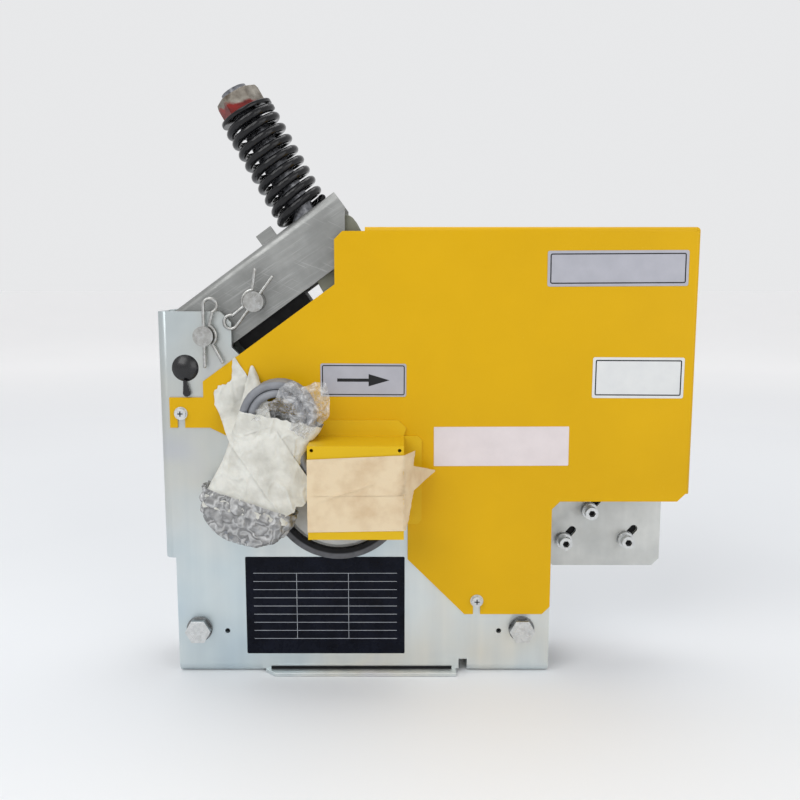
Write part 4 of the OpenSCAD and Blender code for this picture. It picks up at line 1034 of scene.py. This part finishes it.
def guard_tape(name, low, high, left, reach, lift, seed):
    """Masking tape across the guard, its end pulled back; low and high are an edge's height and rise."""
    rows, cols = 26, 70
    front = GUARD_FRONT - TAPE_GAP - lift
    span = GUARD_EDGE_X - left
    verts = []
    for i in range(rows):
        h = i / (rows - 1)
        for j in range(cols):
            t = j / (cols - 1)
            torn = reach(h) + crumple((h * 25, seed, 0), 2.2, 1.6, seed)
            d = t * (span + max(torn, TAPE_END))
            foot = low[0] + low[1] * t
            z = foot + (high[0] + high[1] * t - foot) * h
            wave = 0.22 + crumple((d, z, seed), 7, 0.22, seed) + crumple((d * 0.4, z * 2.2, seed), 3, 0.1, seed)
            ridge = math.exp(-((z - 148 - 0.32 * (d - 5)) / 0.9) ** 2)
            wave += 0.7 * ridge * ease((d - 2) / 8) * ease((52 - d) / 8)
            if d <= span:
                verts.append((left + d, front - max(wave, 0.02), z))
            else:
                back = TAPE_BACK * (d - span)
                verts.append((GUARD_EDGE_X + TAPE_EDGE_GAP + back.x, front + back.y, z))
    obj = mesh_piece(name, verts, grid_faces(rows, cols), TAPE_BEIGE)


def low_reach(h):
    """How far the lower tape runs on past the guard at a share of its width, mm."""
    return 3 + 13 * h


def high_reach(h):
    """The same for the upper tape, which ends in a point."""
    return 6 + 40 * max(0.0, 1 - abs(h - 0.30) / 0.34) + 10 * h


# Bubbles of the film: pitch, distance of the rows, radius and height, mm
BUBBLE_PITCH, BUBBLE_R, BUBBLE_H = 9.0, 3.9, 1.5
BUBBLE_ROWS = BUBBLE_PITCH * 0.866


def film_bubbles(a, b):
    """Height of the pressed bubbles at a place on the film, mm."""
    row = round(b / BUBBLE_ROWS)
    shift = 0.5 * (row % 2)
    col = round(a / BUBBLE_PITCH - shift)
    d = math.hypot(a - (col + shift) * BUBBLE_PITCH, b - row * BUBBLE_ROWS)
    return BUBBLE_H * math.sqrt(max(0.0, 1 - (d / BUBBLE_R) ** 2))


# Film at the hank's foot: both ends, half its width and depth at the far end, its bulge and its cut width, mm
FILM_FROM, FILM_TO = -30.0, -63.5
FILM_TIP = (4.0, 4.5)
FILM_BULGE, FILM_WIDTH = 6.0, 160.0


def film_low():
    """Bubble film over the hank's foot, from under the tape to the end."""
    cols, rows, seed = 132, 44, 41
    verts = []
    for i in range(rows):
        t = i / (rows - 1)
        v = FILM_FROM + (FILM_TO - FILM_FROM) * t
        reach = max(abs(v) - HANK_RUN, 0) / (abs(FILM_TO) - HANK_RUN + 0.6)
        shrink = math.sqrt(max(0.02, 1 - reach ** 2))
        half_w = FILM_TIP[0] + (SLEEVE_HALF[0] - FILM_TIP[0] + FILM_BULGE) * shrink
        half_d = FILM_TIP[1] + (SLEEVE_HALF[1] - FILM_TIP[1]) * shrink ** 0.5
        for j, q in enumerate(box_section(half_w, half_d, min(half_d, half_w) * 0.75, cols)):
            puff = film_bubbles(48 * math.pi * j / cols, v) + crumple((q.x, q.y, v), 5, 1.5, seed)
            puff += crumple((q.x, q.y, v), 2, 0.6, seed) + 0.8
            out = 1 + max(puff, 0.1) / max(half_w, 8)
            p = hank_point(q.x * out, v, SLEEVE_MID_Y + q.y - (max(puff, 0) if q.y < 0 else 0))
            verts.append(clear_of_guard(p))
    obj = mesh_piece("film_low", verts, grid_faces(rows, cols, closed=True), FILM)


def film_torn():
    """The film's torn upper end, which stands out past the hank's right side."""
    rows, cols = 52, 84
    verts = []
    for i in range(rows):
        t = i / (rows - 1)
        for j in range(cols):
            w = j / (cols - 1)
            a = math.radians(200 - 216 * w)
            reach = (14 + 15 * math.exp(-((w - 0.72) / 0.13) ** 2)) * ease((w - 0.40) / 0.12)
            r = 2 + (12 + max(reach + crumple((w * 40, 2, 1), 3, 6, 51), 0)) * t
            depth = -50 - 8.6 * ease((r - 5) / 9) + 11 * ease((r - 26) / 18)
            p = hank_point(r * math.cos(a), HANK_RUN + r * math.sin(a), depth)
            fold = Vector((p.x, p.z, t * 9))
            p.y += crumple(fold, 4.0, 3.0, 52) + crumple(fold, 1.7, 1.4, 53) - 2.0
            p.z += crumple(fold, 2.6, 1.6, 54) * t
            verts.append(clear_of_guard(p))
    obj = mesh_piece("film_torn", verts, grid_faces(rows, cols), TORN_FILM)


hank_tape()
cover_strip()
strip_tail()
guard_tape("guard_tape_low", (126.0, 1.2), (158.0, 0.8), -35.3, low_reach, 0.0, 31)
guard_tape("guard_tape_high", (152.5, 0.78), (179.0, 3.9), -35.2, high_reach, 0.45, 37)
film_low()
film_torn()


# Floor, light and background

# Background as the camera and the metal see it, and how much the far floor is lifted to meet it
BACKGROUND = (0.805, 0.81, 0.82, 1.0)
FLOOR_LIFT = 0.303
FLOOR_TINT = (1.0, 0.95, 0.91, 1.0)
FLOOR_FADE = (0.5, 2.6)
FLOOR_R, FLOOR_Z, FLOOR_SIDES = 30.0, -0.0002, 96

# Light from all round, and the lamps: place, size in metres and power in watts
SKY, SKY_STRENGTH = (0.93, 0.96, 1.0, 1.0), 0.55
LAMP_AIM = Vector((0.04, 0, 0.18))
LAMPS = {
    "key": ((-0.9, -1.3, 1.5), (1.4, 1.4), 17.5),
    "fill": ((1.4, -1.5, 0.8), (1.4, 1.4), 9),
    "top": ((0.1, 0.4, 1.9), (1.6, 1.2), 11),
}


def seen_rays(tree):
    """One for rays that show a surface, none for rays that only light it."""
    path = tree.nodes.new("ShaderNodeLightPath").outputs
    seen = path["Is Camera Ray"]
    for name in ("Is Glossy Ray", "Is Transmission Ray"):
        either = tree.nodes.new("ShaderNodeMath")
        either.operation = "MAXIMUM"
        tree.links.new(seen, either.inputs[0])
        tree.links.new(path[name], either.inputs[1])
        seen = either.outputs[0]
    return seen


def make_stage():
    """A pale round floor, lifted in the distance to the background's tone."""
    turns = [2 * math.pi * k / FLOOR_SIDES for k in range(FLOOR_SIDES)]
    mesh = bpy.data.meshes.new("floor")
    rim = [(FLOOR_R * math.cos(a), FLOOR_R * math.sin(a), FLOOR_Z) for a in turns]
    mesh.from_pydata(rim, [], [range(FLOOR_SIDES)])
    floor = link(bpy.data.objects.new("floor", mesh))
    f = Finish("studio_floor", specular=0.25)
    f.colour(f.ramp(f.noise(1.2, 3), (0.3, srgb(236, 237, 239)), (0.7, srgb(240, 241, 242))))
    f.rough(f.span(f.noise(3, 3), 0.5, 0.6))
    f.shader.inputs["Emission Color"].default_value = FLOOR_TINT
    square = f.math("ADD", f.math("POWER", f.place(0), 2.0), f.math("POWER", f.place(1), 2.0))
    far = f.span(f.math("POWER", square, 0.5), 0.0, FLOOR_LIFT, FLOOR_FADE)
    f.put(f.shader.inputs["Emission Strength"], f.math("MULTIPLY", seen_rays(f.tree), far))
    dress(floor, f.mat)


def area_light(name, at, size, power):
    data = bpy.data.lights.new(name, "AREA")
    data.shape = "RECTANGLE"
    data.size, data.size_y = size
    data.energy = power
    lamp = link(bpy.data.objects.new(name, data))
    lamp.location = at
    lamp.rotation_euler = (LAMP_AIM - Vector(at)).to_track_quat("-Z", "Y").to_euler()


def make_light():
    """The world, which shows the background but lights as a soft sky, and the lamps."""
    world = bpy.data.worlds.new("studio")
    bpy.context.scene.world = world
    world.use_nodes = True
    tree = world.node_tree
    sky = tree.nodes["Background"]
    sky.inputs["Color"].default_value = SKY
    sky.inputs["Strength"].default_value = SKY_STRENGTH
    shown = tree.nodes.new("ShaderNodeBackground")
    shown.inputs["Color"].default_value = BACKGROUND
    mix = tree.nodes.new("ShaderNodeMixShader")
    tree.links.new(seen_rays(tree), mix.inputs[0])
    tree.links.new(sky.outputs[0], mix.inputs[1])
    tree.links.new(shown.outputs[0], mix.inputs[2])
    tree.links.new(mix.outputs[0], tree.nodes["World Output"].inputs["Surface"])
    for name, (at, size, power) in LAMPS.items():
        area_light(name, at, size, power)


make_stage()
make_light()

bpy.context.scene.view_settings.view_transform = "Standard"
bpy.context.view_layer.update()
